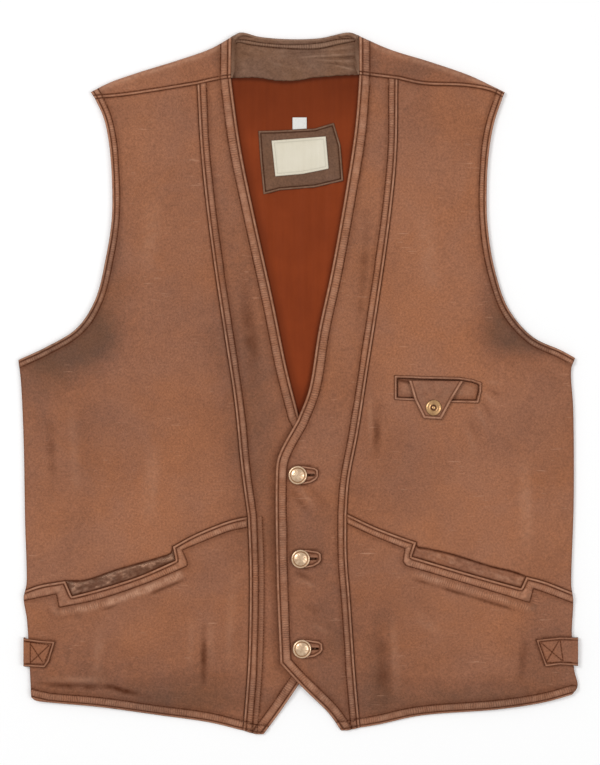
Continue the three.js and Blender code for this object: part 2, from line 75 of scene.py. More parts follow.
# Edge curves of the cut pieces, each row x, y on the curve, from its first end to its last
RIGHT = {
    "shoulder_fold": [(-70.5, 365.5), (-91.5, 353.5), (-125, 341.5), (-167, 328.5), (-198.5, 317.5),
                      (-218.5, 307.5)],
    "shoulder_center": [(-71, 322), (-87, 319.5), (-106.5, 315)],
    "shoulder_side": [(-106.5, 315), (-146, 308.5), (-188, 302.5), (-214, 300.5)],
    "armhole": [(-214, 300.5), (-204.8, 280), (-199, 251.5), (-196, 209.5), (-196.5, 173), (-202.5, 134),
                (-213.5, 90), (-233, 59.5), (-264.5, 40), (-294.5, 26)],
    "side_upper": [(-294.5, 26), (-292, 5), (-289, -58), (-287.5, -142), (-286, -209.5), (-287.5, -216)],
    "side_lower": [(-287.5, -216), (-289, -224), (-285.5, -247), (-283, -289), (-281, -328)],
    "hem_lower": [(-281, -328), (-277, -331.2), (-266.5, -333.2), (-209, -338.6), (-146, -347.5),
                  (-93.5, -355), (-58.5, -363.5)],
    "hem_center": [(-58.5, -363.5), (-46, -367), (-37, -367.5)],
    "point": [(-37, -367.5), (-20, -344.5), (1, -313.5), (18, -288)],
    "front": [(18, -288), (21, -173.5), (23, -94), (16, -64.5), (0, -32)],
    "neck": [(0, -32), (-12, 15.5), (-27, 89), (-45.5, 173), (-60.5, 246.5), (-69.5, 309.5), (-71, 322)],
    "princess": [(-106.5, 315), (-103, 251.5), (-97.5, 194), (-88, 120.5), (-77, 47), (-67.5, -16),
                 (-60, -89.5), (-53.5, -138)],
    "princess_lower": [(-53.5, -138), (-51.5, -194.5), (-53, -289), (-58.5, -363.5)],
    "pocket_front": [(-53.5, -138), (-72.5, -142.5), (-109, -157), (-132, -169.5)],
    "pocket_step": [(-132, -169.5), (-129, -184)],
    "mouth": [(-129, -184), (-167, -200.5), (-209, -214), (-237.5, -221.5)],
    "pocket_step_back": [(-237.5, -221.5), (-244.5, -205.5)],
    "pocket_back": [(-244.5, -205.5), (-272, -210.5), (-287.5, -216)],
    "welt_top": [(-132, -169.5), (-133.5, -176), (-146, -181), (-188, -193), (-224.5, -205),
                 (-244.5, -205.5)],
    "tab": [(-289, -265.5), (-270, -268), (-255, -269), (-261.5, -290), (-266, -296.5), (-289, -295.5)],
}
LEFT = {
    "shoulder_fold": [(63.5, 366.5), (95.5, 352.5), (137.5, 339.5), (179.5, 325), (200.5, 315.2),
                      (216.5, 307.3)],
    "shoulder_center": [(63.5, 325.5), (84, 323), (104, 320.5)],
    "shoulder_side": [(104, 320.5), (130, 315), (174.5, 313), (200.5, 308.5), (214.5, 302.5)],
    "armhole": [(214.5, 302.5), (205, 273.5), (199.5, 240), (197.5, 196), (199, 162.5), (206, 121),
                (220.3, 80), (245.5, 50.5), (276, 36), (290.5, 28)],
    "side_upper": [(290.5, 28), (286.5, 17), (288.5, -26.5), (289, -121), (286.5, -211.5), (287.5, -218)],
    "side_lower": [(287.5, -218), (288.5, -226), (287, -262), (289.5, -299.5), (293, -316.5),
                   (287.5, -325.5)],
    "hem_lower": [(287.5, -325.5), (258.5, -333.5), (211, -341), (127, -348), (85, -357), (64.5, -360.5)],
    "hem_center": [(64.5, -360.5), (51.5, -363.2), (44.5, -363.6)],
    "point": [(44.5, -363.6), (32.5, -346.5), (1, -314.5), (-19.5, -292)],
    "front": [(-19.5, -292), (-23, -205), (-24.2, -100), (-22.8, -80), (-18.6, -68), (-1.5, -37)],
    "neck": [(-1.5, -37), (10.5, -5.5), (21, 57.5), (34.5, 120.5), (49.5, 204.5), (59, 267.5),
             (62.5, 307.5), (63.5, 325.5)],
    "princess": [(104, 320.5), (102.5, 241), (96.5, 178), (84, 89), (72.5, 15.5), (62.5, -49.5),
                 (53, -100), (50.3, -135)],
    "princess_lower": [(50.3, -135), (50.5, -179), (54, -226), (59.5, -305), (64.5, -360.5)],
    "pocket_front": [(50.3, -135), (80, -149), (111.5, -161), (123.5, -165)],
    "pocket_step": [(123.5, -165), (118.5, -180)],
    "mouth": [(118.5, -180), (169, -195), (200.5, -204), (233, -213)],
    "pocket_step_back": [(233, -213), (238.5, -201)],
    "pocket_back": [(238.5, -201), (258.5, -206.5), (287.5, -218)],
    "welt_top": [(123.5, -165), (124, -169.5), (134, -171.5), (158.5, -177), (200.5, -190), (225, -196),
                 (238.5, -201)],
    "tab": [(293.5, -265.5), (274, -264.5), (248.5, -267), (258.5, -295.5), (274, -293.5),
            (293.5, -295.5)],
}
BACK_NECK = [(-70.5, 365.5), (-61, 370), (-41, 365.5), (-9.5, 363), (22, 364), (54, 370), (63.5, 366.5)]
BACK_HEM = [(-281, -328), (-140, -316), (0, -310), (140, -316), (287.5, -325.5)]
FACING_LOW = [(-71, 322), (-43, 322), (-14.5, 318.5), (22, 323), (63.5, 325.5)]
LINING_SIDE = [(160, 296), (168, 240), (167, 170), (180, 100), (206, 46), (256, 6), (256, -284)]
PATCH = [(-42.5, 266.5), (-20, 267), (17, 269), (37, 275), (44, 251.5), (47, 214), (17, 207), (-20, 204),
         (-37, 199.5), (-40.5, 236)]
WOVEN_LABEL = [(-28.5, 256), (28.5, 260.5), (31.5, 226.5), (4, 221), (-24.5, 218.5)]
SIZE_TAG = [(-6.5, 267.8), (-6.5, 280.5), (8.5, 280.5), (8.5, 268.8)]
CHEST_RIM = [(100, 10), (148, 8.5), (169, 8), (181.5, 6), (192, 2.5), (191.5, -7.5), (188.5, -19.5),
             (160.5, -19), (100, -16)]
CHEST_FLAP = [(115, 4.5), (172.5, 4), (160.5, -16), (149.5, -36.5), (130.5, -35.5), (121, -16)]
CHEST_SNAP = (141, -24)
BUTTONHOLE = [(-3, -7), (5, -10), (13.5, -8.5), (19.5, -5), (22, -1.5), (21.5, 5.5), (18, 8), (5, 10),
              (-3, 7)]
BUTTONS = [(-1, -94.5), (2, -182), (3.5, -276.5)]

# Soft folds that the solids have too: a line from x0, y0 to x1, y1, its half width and its height
FOLDS = [
    (-52, 110, -40, -90, 20, -1.3),
    (-96, -238, -104, -335, 17, 1.4),
    (-122, -232, -130, -330, 16, -1.0),
    (88, -225, 96, -350, 18, -1.4),
    (84, 0, 92, -70, 14, -1.0),
    (274, -10, 276, -90, 14, 1.2),
    (-250, 12, -236, -120, 22, 1.2),
    (206, -230, 212, -320, 18, 1.2),
]

# Finer creases of the fronts, in the same columns
CREASES = [
    (-278, -314, -186, -318, 4.5, -1.4),
    (-206, -315, -150, -331, 4.5, -1.3),
    (-270, -309, -196, -311, 6, 0.8),
    (-98, -246, -100, -322, 5, -1.2),
    (-94, -236, -92, -300, 8, 0.5),
    (-112, -236, -114, -310, 6, 0.4),
    (-68, -190, -74, -300, 8, 0.5),
    (192, 4, 216, 0, 3.5, 0.6),
    (193, -2, 213, -12, 3, -0.6),
    (192, -7, 209, -24, 3.5, 0.7),
    (190, -14, 203, -36, 3, -0.6),
    (186, -20, 196, -46, 3.5, 0.6),
    (172, -24, 190, -58, 5, -0.25),
    (176, -44, 186, -78, 6, 0.4),
    (84, -16, 80, -80, 7, -0.8),
    (74, 0, 76, -70, 5, 0.5),
    (236, -70, 240, -180, 12, 0.7),
    (84, -250, 92, -348, 13, -0.6),
    (98, -240, 104, -330, 7, 0.6),
    (120, -240, 150, -262, 9, 0.5),
    (238, -262, 232, -318, 8, -0.5),
    (-206, -250, -214, -316, 9, 0.6),
    (-150, -60, -158, -150, 14, 0.6),
    (-262, -30, -256, -110, 9, -0.5),
    (-238, -20, -232, -120, 8, 0.5),
    (130, 190, 142, 90, 16, 0.5),
    (-150, 200, -160, 110, 15, 0.5),
    (-9, -108, 9, -133, 4, -1.1),
    (-2, -105, 18, -130, 4, 0.7),
    (12, -106, 30, -130, 6, -0.5),
    (-6, -195, 18, -206, 4, -0.9),
    (-4, -203, 22, -214, 4, 0.7),
    (-2, -228, 24, -240, 7, -0.4),
    (10, -250, 34, -262, 5, 0.5),
    (-58, 120, -44, -10, 12, -0.7),
    (-90, 190, -74, 60, 7, -0.5),
    (74, 190, 62, 40, 7, -0.6),
]

# The far row of stitching under each pocket seam, run by run from the princess seam to the side seam
POCKET_ROWS = {
    "right": [[(-54.5, -149.4), (-73, -153.5), (-100, -164), (-121.8, -173)],
              [(-121.8, -173), (-116.5, -187.2), (-117, -190)],
              [(-117, -190), (-156.5, -206.7), (-209, -224.5), (-251, -233.4)],
              [(-251, -233.4), (-253, -224), (-254, -219.3)],
              [(-254, -219.3), (-288.5, -226.5)]],
    "left": [[(50.4, -145.2), (80, -158.9), (111.3, -171.5)],
             [(111.3, -171.5), (109.2, -185)],
             [(109.2, -185), (112.4, -189.4)],
             [(112.4, -189.4), (148, -199.8), (190, -212.4), (242, -228.2)],
             [(242, -228.2), (246, -213.5)],
             [(246, -213.5), (263.5, -219.8), (288.2, -229.2)]],
}

# How the fronts round up from the outer edges and from the neck, and how the left one climbs over
LOFT = 3.0
LOFT_FROM_EDGE = 80.0
LOFT_FROM_NECK = 60.0
EDGE_ROLL = 12.0
TIP_Z = GAP
TIP_CLEAR = 14.0
TIP_FALL = 20.0
LIFT = FRONT + GAP
LIFT_REACH = 17.0
LIFT_FADE = 24.0

# Steps of the coarse curves, of the outlines, of the seam lines and of the meshes
CURVE_STEP = 11.0
EDGE_STEP = 1.4
LINE_STEP = 2.8
GRID = 2.9
PLAIN_GRID = 12.0
PLAIN_EDGE = 3.0
HOLE_CLEAR = 0.35
BAND_ROWS = (0.45, 1.1, 1.9, 2.6, 3.1, 3.6, 4.5, 5.8, 7.0, 7.9, 8.6, 9.3, 10.0, 10.8, 11.5, 12.3, 13.6,
             15.4)
PLAIN_ROWS = (0.5, 1.2, 2.2, 3.6, 5.5)
DETAIL_GRID = 1.35
DETAIL_REACH = 17.0
DETAIL_ROWS = (0.0, 0.8, 1.6)
DETAIL_CLEAR = 2.3
DETAIL_EDGE = 0.3

# How far a grid's points stay from the rows and from a finer grid, in shares of the grid
GRID_CLEAR = 0.6
GRID_JOIN = 0.4

# How far short of its offset a moved line's point may lie, at a corner and round an outline
CORNER_SLACK = 0.07
RING_SLACK = 0.06

# What each point of a cut piece says to its material: how dark it is, from its seam lines and painted
# shade;
# how rubbed it is and how much painted highlight it has; how ribbed it is; and how far along its seam it
# lies
MARKS = ("dark", "rub", "ribbed", "along")


# Curves and outlines

def spaced(line, step):
    """Points a step apart along a line of points."""
    line = np.asarray(line, float)
    lengths = np.r_[0, np.cumsum(np.hypot(*np.diff(line, axis=0).T))]
    count = max(1, round(lengths[-1] / step))
    at = np.linspace(0, lengths[-1], count + 1)
    return np.stack([np.interp(at, lengths, line[:, 0]), np.interp(at, lengths, line[:, 1])], axis=1)


def curve(rows, step=CURVE_STEP):
    """Points a step apart on a smooth curve through the rows."""
    rows = np.asarray(rows, float)
    if len(rows) == 2:
        return spaced(rows, step)
    ends = np.vstack([2 * rows[0] - rows[1], rows, 2 * rows[-1] - rows[-2]])
    t = np.linspace(0, 1, 41)[:-1, None]
    parts = []
    for p0, p1, p2, p3 in zip(ends, ends[1:], ends[2:], ends[3:]):
        t0, t1, t2 = (math.sqrt(np.hypot(*(b - a))) for a, b in ((p0, p1), (p1, p2), (p2, p3)))
        leave = ((p1 - p0) / t0 - (p2 - p0) / (t0 + t1) + (p2 - p1) / t1) * t1
        arrive = ((p2 - p1) / t1 - (p3 - p1) / (t1 + t2) + (p3 - p2) / t2) * t1
        parts.append(p1 * (2 * t ** 3 - 3 * t ** 2 + 1) + leave * (t ** 3 - 2 * t ** 2 + t)
                     + p2 * (3 * t ** 2 - 2 * t ** 3) + arrive * (t ** 3 - t ** 2))
    return spaced(np.vstack([*parts, rows[-1:]]), step)


def join(*lines):
    """Lines joined end to end, each end kept once."""
    points = np.vstack(lines)
    apart = np.hypot(*np.diff(points, axis=0).T) > 0.05
    return points[np.r_[True, apart]]


def loop(*lines):
    """A loop of points, anticlockwise, without a repeated end."""
    points = join(*lines)
    if np.hypot(*(points[0] - points[-1])) < 0.2:
        points = points[:-1]
    x, y = points.T
    area = np.sum(x * np.roll(y, -1) - np.roll(x, -1) * y)
    return points if area > 0 else points[::-1]


def closed(points):
    return np.vstack([points, points[:1]])


def area_of(points):
    x, y = points.T
    return 0.5 * abs(np.sum(x * np.roll(y, -1) - np.roll(x, -1) * y))


def inset(points, distance):
    """An anticlockwise loop moved in by a distance."""
    into = points - np.roll(points, 1, axis=0)
    out = np.roll(points, -1, axis=0) - points
    into /= np.hypot(*into.T)[:, None]
    out /= np.hypot(*out.T)[:, None]
    normal = np.stack([-into[:, 1] - out[:, 1], into[:, 0] + out[:, 0]], axis=1)
    normal /= np.hypot(*normal.T)[:, None]
    share = np.maximum(0.4, normal[:, 0] * -into[:, 1] + normal[:, 1] * into[:, 0])
    return points + normal * (distance / share)[:, None]


def measure(line, points):
    """Distance of each point to a line, and how far along the line it is."""
    start = line[:-1]
    step = line[1:] - start
    long = (step ** 2).sum(1)
    before = np.r_[0, np.cumsum(np.sqrt(long))][:-1]
    distance = np.empty(len(points))
    along = np.empty(len(points))
    for first in range(0, len(points), 3000):
        p = points[first:first + 3000]
        dx = p[:, :1] - start[:, 0]
        dy = p[:, 1:] - start[:, 1]
        t = np.clip((dx * step[:, 0] + dy * step[:, 1]) / long, 0, 1)
        apart = (dx - t * step[:, 0]) ** 2 + (dy - t * step[:, 1]) ** 2
        best = apart.argmin(1)
        rows = np.arange(len(p))
        distance[first:first + 3000] = np.sqrt(apart[rows, best])
        along[first:first + 3000] = before[best] + t[rows, best] * np.sqrt(long[best])
    return distance, along


def to_line(line, points):
    return measure(line, points)[0]


def to_edge(outline, points):
    """Distance of each point to the edge of a cut piece, from inside or outside."""
    return to_line(closed(outline), points)


def inside(outline, points):
    x, y = points[:, 0], points[:, 1]
    result = np.zeros(len(points), bool)
    for (ax, ay), (bx, by) in zip(outline, np.roll(outline, -1, axis=0)):
        if ay != by:
            result ^= ((ay > y) != (by > y)) & (x < ax + (y - ay) / (by - ay) * (bx - ax))
    return result


def smooth(t):
    t = np.clip(t, 0, 1)
    return t * t * (3 - 2 * t)


def fade(distance, start, reach):
    """1 up to a start, and down to 0 a reach beyond it."""
    return 1 - smooth((distance - start) / reach)


def bell(distance, half):
    return np.exp(-(distance / half) ** 2)


def round_over(distance, reach):
    """A quarter round, from 0 at an edge to 1 a reach away from it."""
    return np.sqrt(1 - (1 - np.clip(distance / reach, 0, 1)) ** 2)


# Unevenness

def uneven(points, size, seed):
    """Smooth noise from -1 to 1 over the plane, its lumps about a size across."""
    count = 64
    lattice = np.random.default_rng(seed).uniform(-1, 1, (count, count))
    p = points / size + 500
    cell = np.floor(p).astype(int)
    t = p - cell
    t = t * t * (3 - 2 * t)
    i, j = cell[:, 0] % count, cell[:, 1] % count
    i2, j2 = (i + 1) % count, (j + 1) % count
    low = lattice[i, j] * (1 - t[:, 0]) + lattice[i2, j] * t[:, 0]
    high = lattice[i, j2] * (1 - t[:, 0]) + lattice[i2, j2] * t[:, 0]
    return low * (1 - t[:, 1]) + high * t[:, 1]


def uneven_along(along, size, seed):
    return uneven(np.stack([along, np.full_like(along, seed * 7.3)], axis=1), size, seed)


# Cut pieces

def outlines(side):
    return {
        "center": loop(side["neck"], side["shoulder_center"], side["princess"], side["princess_lower"],
                       side["hem_center"], side["point"], side["front"]),
        "side": loop(side["princess"], side["pocket_front"], side["welt_top"], side["pocket_back"],
                     side["side_upper"][::-1], side["armhole"][::-1], side["shoulder_side"][::-1]),
        "lower": loop(side["princess_lower"], side["hem_lower"][::-1], side["side_lower"][::-1],
                      side["pocket_back"][::-1], side["pocket_step_back"][::-1], side["mouth"][::-1],
                      side["pocket_step"][::-1], side["pocket_front"][::-1]),
        "welt": loop(side["welt_top"], side["pocket_step_back"][::-1], side["mouth"][::-1],
                     side["pocket_step"][::-1]),
        "yoke": loop(side["shoulder_fold"], join(side["shoulder_center"], side["shoulder_side"])[::-1]),
    }


right = {name: curve(rows) for name, rows in RIGHT.items()}
left = {name: curve(rows) for name, rows in LEFT.items()}
right_fine = {name: curve(rows, EDGE_STEP) for name, rows in RIGHT.items()}
left_fine = {name: curve(rows, EDGE_STEP) for name, rows in LEFT.items()}
right_cut = outlines(right_fine)
left_cut = outlines(left_fine)
right_center = outlines(right)["center"]
back_neck = curve(BACK_NECK)
back_hem = curve(BACK_HEM)

outer_edges = [join(side["armhole"], side["side_upper"], side["side_lower"]) for side in (right, left)]
shoulder_edges = [side["shoulder_fold"] for side in (right, left)]
hem_edges = [join(side["hem_lower"], side["hem_center"], side["point"]) for side in (right, left)]
neck_edges = [side["neck"] for side in (right, left)]


def nearest(lines, points):
    """Distance of each point to the nearest of some lines."""
    return np.min([to_line(line, points) for line in lines], axis=0)


# Heights of the fronts, as the solids have them

def seat_height(points, outer):
    """Height of what the fronts lie on: the back, its lining, and past the hem the surface below."""
    hem = to_line(back_hem, points)
    falling = EDGE_Z - (EDGE_Z - TIP_Z) * smooth((hem - TIP_CLEAR) / TIP_FALL)
    covered = EDGE_Z + (ON_LINING_Z - EDGE_Z) * smooth(np.minimum(hem, outer) / EDGE_ROLL)
    below = points[:, 1] < np.interp(points[:, 0], back_hem[:, 0], back_hem[:, 1])
    return np.where(below, falling, covered)


def fold_height(points, folds):
    """Height of some folds, each strongest in its middle and gone at its ends and sides."""
    height = np.zeros(len(points))
    x, y = points.T
    for x0, y0, x1, y1, half, rise in folds:
        dx, dy = x1 - x0, y1 - y0
        length = math.hypot(dx, dy)
        along = ((x - x0) * dx + (y - y0) * dy) / length ** 2
        across = np.abs((x - x0) * dy - (y - y0) * dx) / length
        on = (along > 0) & (along < 1) & (across < half)
        height += on * rise * np.sin(np.pi * along) * np.cos(np.pi / 2 * np.minimum(across / half, 1)) ** 2
    return height


def underside(points):
    """Lower side of the fronts, which round up from their edges."""
    outer = nearest(outer_edges, points)
    from_edge = np.minimum(outer, nearest(shoulder_edges + hem_edges, points))
    from_neck = nearest(neck_edges, points)
    loft = LOFT * smooth(from_edge / LOFT_FROM_EDGE) * smooth(from_neck / LOFT_FROM_NECK)
    folds = fold_height(points, FOLDS) * smooth(from_edge / EDGE_ROLL / 2)
    return seat_height(points, outer) + loft + folds


def left_underside(points):
    """Lower side of the left front, which climbs over the center of the right one."""
    outside = np.where(inside(right_center, points), 0, to_edge(right_center, points))
    return underside(points) + LIFT * fade(outside, LIFT_REACH, LIFT_FADE)


# Seams and finished edges

# Grooves under the near and the far row: how deep, and how far to either side
NEAR_DEPTH = 0.6
NEAR_HALF = 0.75
FAR_DEPTH = 0.7
FAR_HALF = 0.85
THREAD_HALF = 0.78
# The swelling between two rows, and where an edge is rubbed and carries a painted highlight outside its
# near row, in shares of that row's offset
PILLOW = 0.62
RUB_AND_HIGHLIGHT_AT = 0.44
RUB_AND_HIGHLIGHT_HALF = 0.27
# An edge with less rounding than this is a seam, and its line is darker
SEAM_ROUND = 1.5
SEAM_DARK = 0.75
EDGE_DARK = 0.15
ROLLED_DROP = 1.5
ROLLED_REACH = 4.5
TUCKED_DIP = 0.75
FIRST_SEED = 11
SEED_STEP = 5


def band(distance, along, seed, near, far, rise, edge_round, edge_drop, pucker, past=None):
    """A turned edge or the upper side of a seam, with its two rows of stitching. Past is how far each
    point lies beyond the far row, where that row has corners of its own."""
    if past is None:
        past = distance - far - 0.35 * uneven_along(along, 26, seed)
    lip = rise * fade(past, -0.4, 2.2)
    share = np.clip((distance - near) / np.maximum(distance - near - past, 0.1), 0, 1)
    pillow = PILLOW * np.sin(np.pi * share)
    grooves = NEAR_DEPTH * bell(distance - near, NEAR_HALF) + FAR_DEPTH * bell(past, FAR_HALF)
    rounding = edge_drop * (1 - round_over(distance, edge_round))
    ripple = uneven_along(along, 3.4, seed + 1) + 0.6 * uneven_along(along, 8, seed + 2)
    gathers = pucker * ripple * smooth((distance - near) / 2) * fade(past, 1, 7)
    seam_line = SEAM_DARK if edge_round < SEAM_ROUND else EDGE_DARK
    # Dark lines along the rows for the stitching, with painted shade in their grooves, a dark seam line,
    # and a broad band of painted shade beyond the far row
    dark = np.max([bell(distance - near, THREAD_HALF), bell(past, FAR_HALF),
                   seam_line * fade(distance, 0.1, 0.7), 0.3 * bell(past - 1.8, 2.2)], axis=0)
    fray = 0.75 + 0.25 * uneven_along(along, 12, seed + 3)
    # Painted highlight, with some rubbed wear, on the rounded ridge outside the near row and on the
    # swelling between the rows
    between = 0.6 * (distance > near) * (past < 0) * (0.25 + 0.55 * np.sin(np.pi * share) + 0.4 * ripple)
    rub = fray * (1.25 * bell(distance - RUB_AND_HIGHLIGHT_AT * near, RUB_AND_HIGHLIGHT_HALF * near) + between)
    ribbed = smooth((distance - near) / 1.2) * fade(past, -1, 1.5)
    return lip, pillow - grooves - rounding + gathers, dark, np.clip(rub, 0, 1), ribbed


def single_row(distance, along, seed, near, rise, edge_round, edge_drop):
    """A turned edge with one row of stitching."""
    lip = rise * fade(distance - near, 1.2, 2)
    rounding = edge_drop * (1 - round_over(distance, edge_round))
    ripple = uneven_along(along, 5, seed)
    # Dark line of the row with painted shade in its groove, painted shade along the edge, and painted
    # highlight on the ridge beside the edge
    dark = np.maximum(bell(distance - near, THREAD_HALF), 0.6 * fade(distance, 0, 0.8))
    rub = bell(distance - 1.4, 0.7) * (0.7 + 0.3 * ripple)
    nothing = np.zeros_like(distance)
    gathers = 0.1 * ripple * smooth((distance - near) / 2) * fade(distance - near, 3, 6)
    return lip, gathers - NEAR_DEPTH * bell(distance - near, NEAR_HALF) - rounding, dark, rub, nothing


def lone_row(distance, along, seed, near):
    """A row of stitching that runs beside a seam for the length of its line."""
    beside = along > 0
    row = bell(distance - near, NEAR_HALF) * beside
    strip = smooth((distance - near + 5) / 1.2) * fade(distance - near, -0.6, 1) * beside
    nothing = np.zeros_like(distance)
    # Dark line with painted shade in the row's groove, and painted highlight on the raised strip beside it
    return nothing, 0.15 * strip - 0.4 * row, 0.7 * row, 0.3 * strip, 0.8 * strip


def tucked(distance, along, seed):
    """The side of a seam that lies under the other."""
    dip = TUCKED_DIP * fade(distance, 0, 3.2)
    ripple = uneven_along(along, 5, seed) * 0.16 * fade(distance, 0, 8)
    # Painted shade where the other piece of the seam laps over this one
    dark = 0.85 * fade(distance, 0.2, 1.6)
    nothing = np.zeros_like(distance)
    return nothing, ripple - dip, dark, nothing, nothing


def rolled(distance, along, seed):
    """A plain edge that turns down out of sight."""
    drop = ROLLED_DROP * (1 - round_over(distance, ROLLED_REACH))
    nothing = np.zeros_like(distance)
    # Painted shade where the edge turns down
    return nothing, -drop, 0.35 * fade(distance, 0, 2.5), nothing, nothing


# What each kind of edge is made of: its shape, its near row of stitching, its far row where it has one, and
# then its rise, rounding, drop and puckers, as far as the shape takes them
EDGE_KINDS = {
    "front_edge": (band, 3.1, 11.6, 0.9, 2.2, 1.6, 0.2),
    "armhole_edge": (band, 2.9, 8.2, 0.45, 2.2, 1.5, 0.12),
    "hem_edge": (band, 2.5, 10.1, 0.7, 2.2, 1.4, 0.22),
    "princess_seam": (band, 3.1, 9.4, 0.8, 1.2, 0.9, 0.14),
    "pocket_seam": (band, 3.1, 10.3, 0.9, 1.2, 0.9, 0.3),
    "collar_edge": (band, 3.7, 11.2, 0.6, 2.0, 1.2, 0.16),
    "third_row": (lone_row, 15.2),
    "shoulder_seam": (single_row, 3.1, 0.7, 1.4, 1.1),
    "patch_edge": (single_row, 2.6, 0.25, 1.0, 0.6),
    "tab_edge": (single_row, 2.6, 0.2, 1.4, 0.8),
    "tucked": (tucked,),
    "rolled": (rolled,),
}
# How many rows of stitching each shape has
SEWN_ROWS = {band: 2, single_row: 1, lone_row: 1}


def rows_of(kind):
    """How far from an edge of a kind its rows of stitching run."""
    shape, *sizes = EDGE_KINDS[kind]
    return sizes[:SEWN_ROWS.get(shape, 0)]


def relief(points, bands):
    """Height of the seams over a plain panel, and its marks."""
    found = []
    for number, (kind, line, *far_row) in enumerate(bands):
        shape, *sizes = EDGE_KINDS[kind]
        distance, along = measure(line, points)
        if far_row:
            within = inside(np.vstack([line, far_row[0][::-1]]), points)
            sizes.append(to_line(far_row[0], points) * np.where(within, -1, 1))
        found.append([*shape(distance, along, number * SEED_STEP + FIRST_SEED, *sizes), along])
    lips, shapes, *marks, alongs = (np.array(values) for values in zip(*found))
    along = alongs[marks[-1].argmax(0), np.arange(len(points))] * MM
    return lips.max(0) + shapes.sum(0), dict(zip(MARKS, [*(values.max(0) for values in marks), along]))


def deepen(marks, name, *values):
    """A mark raised to each of some values, where they are more."""
    marks[name] = np.max([marks[name], *values], axis=0)


# Meshes

def staggered(low, high, grid):
    """A grid of equal triangles over a rectangle."""
    x, y = np.meshgrid(np.arange(low[0], high[0], grid), np.arange(low[1], high[1], grid * 0.866))
    x[1::2] += grid / 2
    return np.stack([x.ravel(), y.ravel()], axis=1)


def fill(outline, rows, grid, detail=None):
    """Points inside an outline: rows beside its edge, and a staggered grid in the middle, which is finer
    beside the detail's line."""
    ring = closed(outline)

    def within(points, clear):
        points = points[inside(outline, points)]
        return points[to_line(ring, points) > clear]

    found = [within(inset(outline, distance), distance - RING_SLACK) for distance in rows]
    low, high = outline.min(0), outline.max(0)
    middle = within(staggered(low, high, grid), rows[-1] + grid * GRID_CLEAR)
    if detail is not None:
        fine = staggered(np.maximum(low, detail.min(0) - DETAIL_REACH),
                         np.minimum(high, detail.max(0) + DETAIL_REACH), DETAIL_GRID)
        fine = within(fine, rows[-1] + DETAIL_GRID * GRID_CLEAR)
        found.append(fine[to_line(detail, fine) < DETAIL_REACH])
        middle = middle[to_line(detail, middle) > DETAIL_REACH + grid * GRID_JOIN]
    found = np.vstack([*found, middle])
    if detail is not None:
        found = found[to_line(detail, found) > DETAIL_CLEAR]
        beside = np.vstack([row for offset in DETAIL_ROWS for row in both_sides(detail, offset)])
        found = np.vstack([found, within(beside, DETAIL_EDGE)])
    return found


def shifted(line, step, offset):
    """A line at a step, and the same moved to its left and to its right by an offset."""
    line = spaced(line, step)
    way = np.gradient(line, axis=0)
    way /= np.hypot(*way.T)[:, None]
    normal = np.stack([-way[:, 1], way[:, 0]], axis=1)
    return line, (line + normal * offset, line - normal * offset)


def both_sides(line, offset):
    """A line moved to each side by an offset, without the loops that its corners would make."""
    line, moved = shifted(line, EDGE_STEP, offset)
    if not offset:
        return [line]
    return [row[to_line(line, row) > offset - CORNER_SLACK] for row in moved]


def triangles(edges, points):
    """Triangles over all the points inside the first edge loop and outside the others."""
    count = 0
    loops = []
    for edge in edges:
        loops.append(list(range(count, count + len(edge))))
        count += len(edge)
    every = np.vstack([*edges, points])
    found = delaunay_2d_cdt([Vector(p) for p in every], [], loops, 1, 1e-9, False)
    vertices = np.array([tuple(v) for v in found[0]])
    if len(vertices) != len(every):
        raise ValueError("an outline crosses itself or has a point twice")
    faces = np.array(found[2])
    a, b, c = (vertices[faces[:, i]] for i in range(3))
    turn = (b[:, 0] - a[:, 0]) * (c[:, 1] - a[:, 1]) - (b[:, 1] - a[:, 1]) * (c[:, 0] - a[:, 0])
    faces[turn < 0] = faces[turn < 0][:, ::-1]
    middle = (a + b + c) / 3
    kept = np.ones(len(faces), bool)
    for i, ring in enumerate(loops):
        kept &= inside(vertices[ring], middle) == (i == 0)
    return vertices, faces[kept]


def cloth(outline, top, bottom, rows=BAND_ROWS, grid=GRID, holes=(), fine_under=False, detail=None):
    """A closed thin shell over an outline, fine on the side that shows and plain on the other.
    The outline runs anticlockwise and the holes clockwise."""
    edges = [outline, *holes]
    shown, plain = fill(outline, rows, grid, detail), fill(outline, (PLAIN_EDGE,), PLAIN_GRID)
    for hole in holes:
        shown, plain = (points[~inside(hole, points) & (to_edge(hole, points) > HOLE_CLEAR)]
                        for points in (shown, plain))
    top_points, bottom_points = (plain, shown) if fine_under else (shown, plain)
    upper, upper_faces = triangles(edges, top_points)
    lower, lower_faces = triangles(edges, bottom_points)
    top_z, marks = top(upper)
    bottom_z, under_marks = bottom(lower)
    vertices = np.vstack([np.c_[upper, top_z], np.c_[lower, bottom_z]])
    faces = [tuple(face) for face in upper_faces]
    faces += [tuple(face[::-1] + len(upper)) for face in lower_faces]
    first = 0
    for edge in edges:
        for i in range(len(edge)):
            a, b = first + i, first + (i + 1) % len(edge)
            faces.append((a, a + len(upper), b + len(upper), b))
        first += len(edge)
    return vertices, faces, {name: np.r_[marks.get(name, np.zeros(len(upper))),
                                         under_marks.get(name, np.zeros(len(lower)))] for name in MARKS}


def lifted(surface, height=0.0):
    """A surface's height and some more, without marks."""
    return lambda points: (surface(points) + height, {})


def plain_height(height):
    """An even height, without marks."""
    return lambda points: (np.full(len(points), float(height)), {})


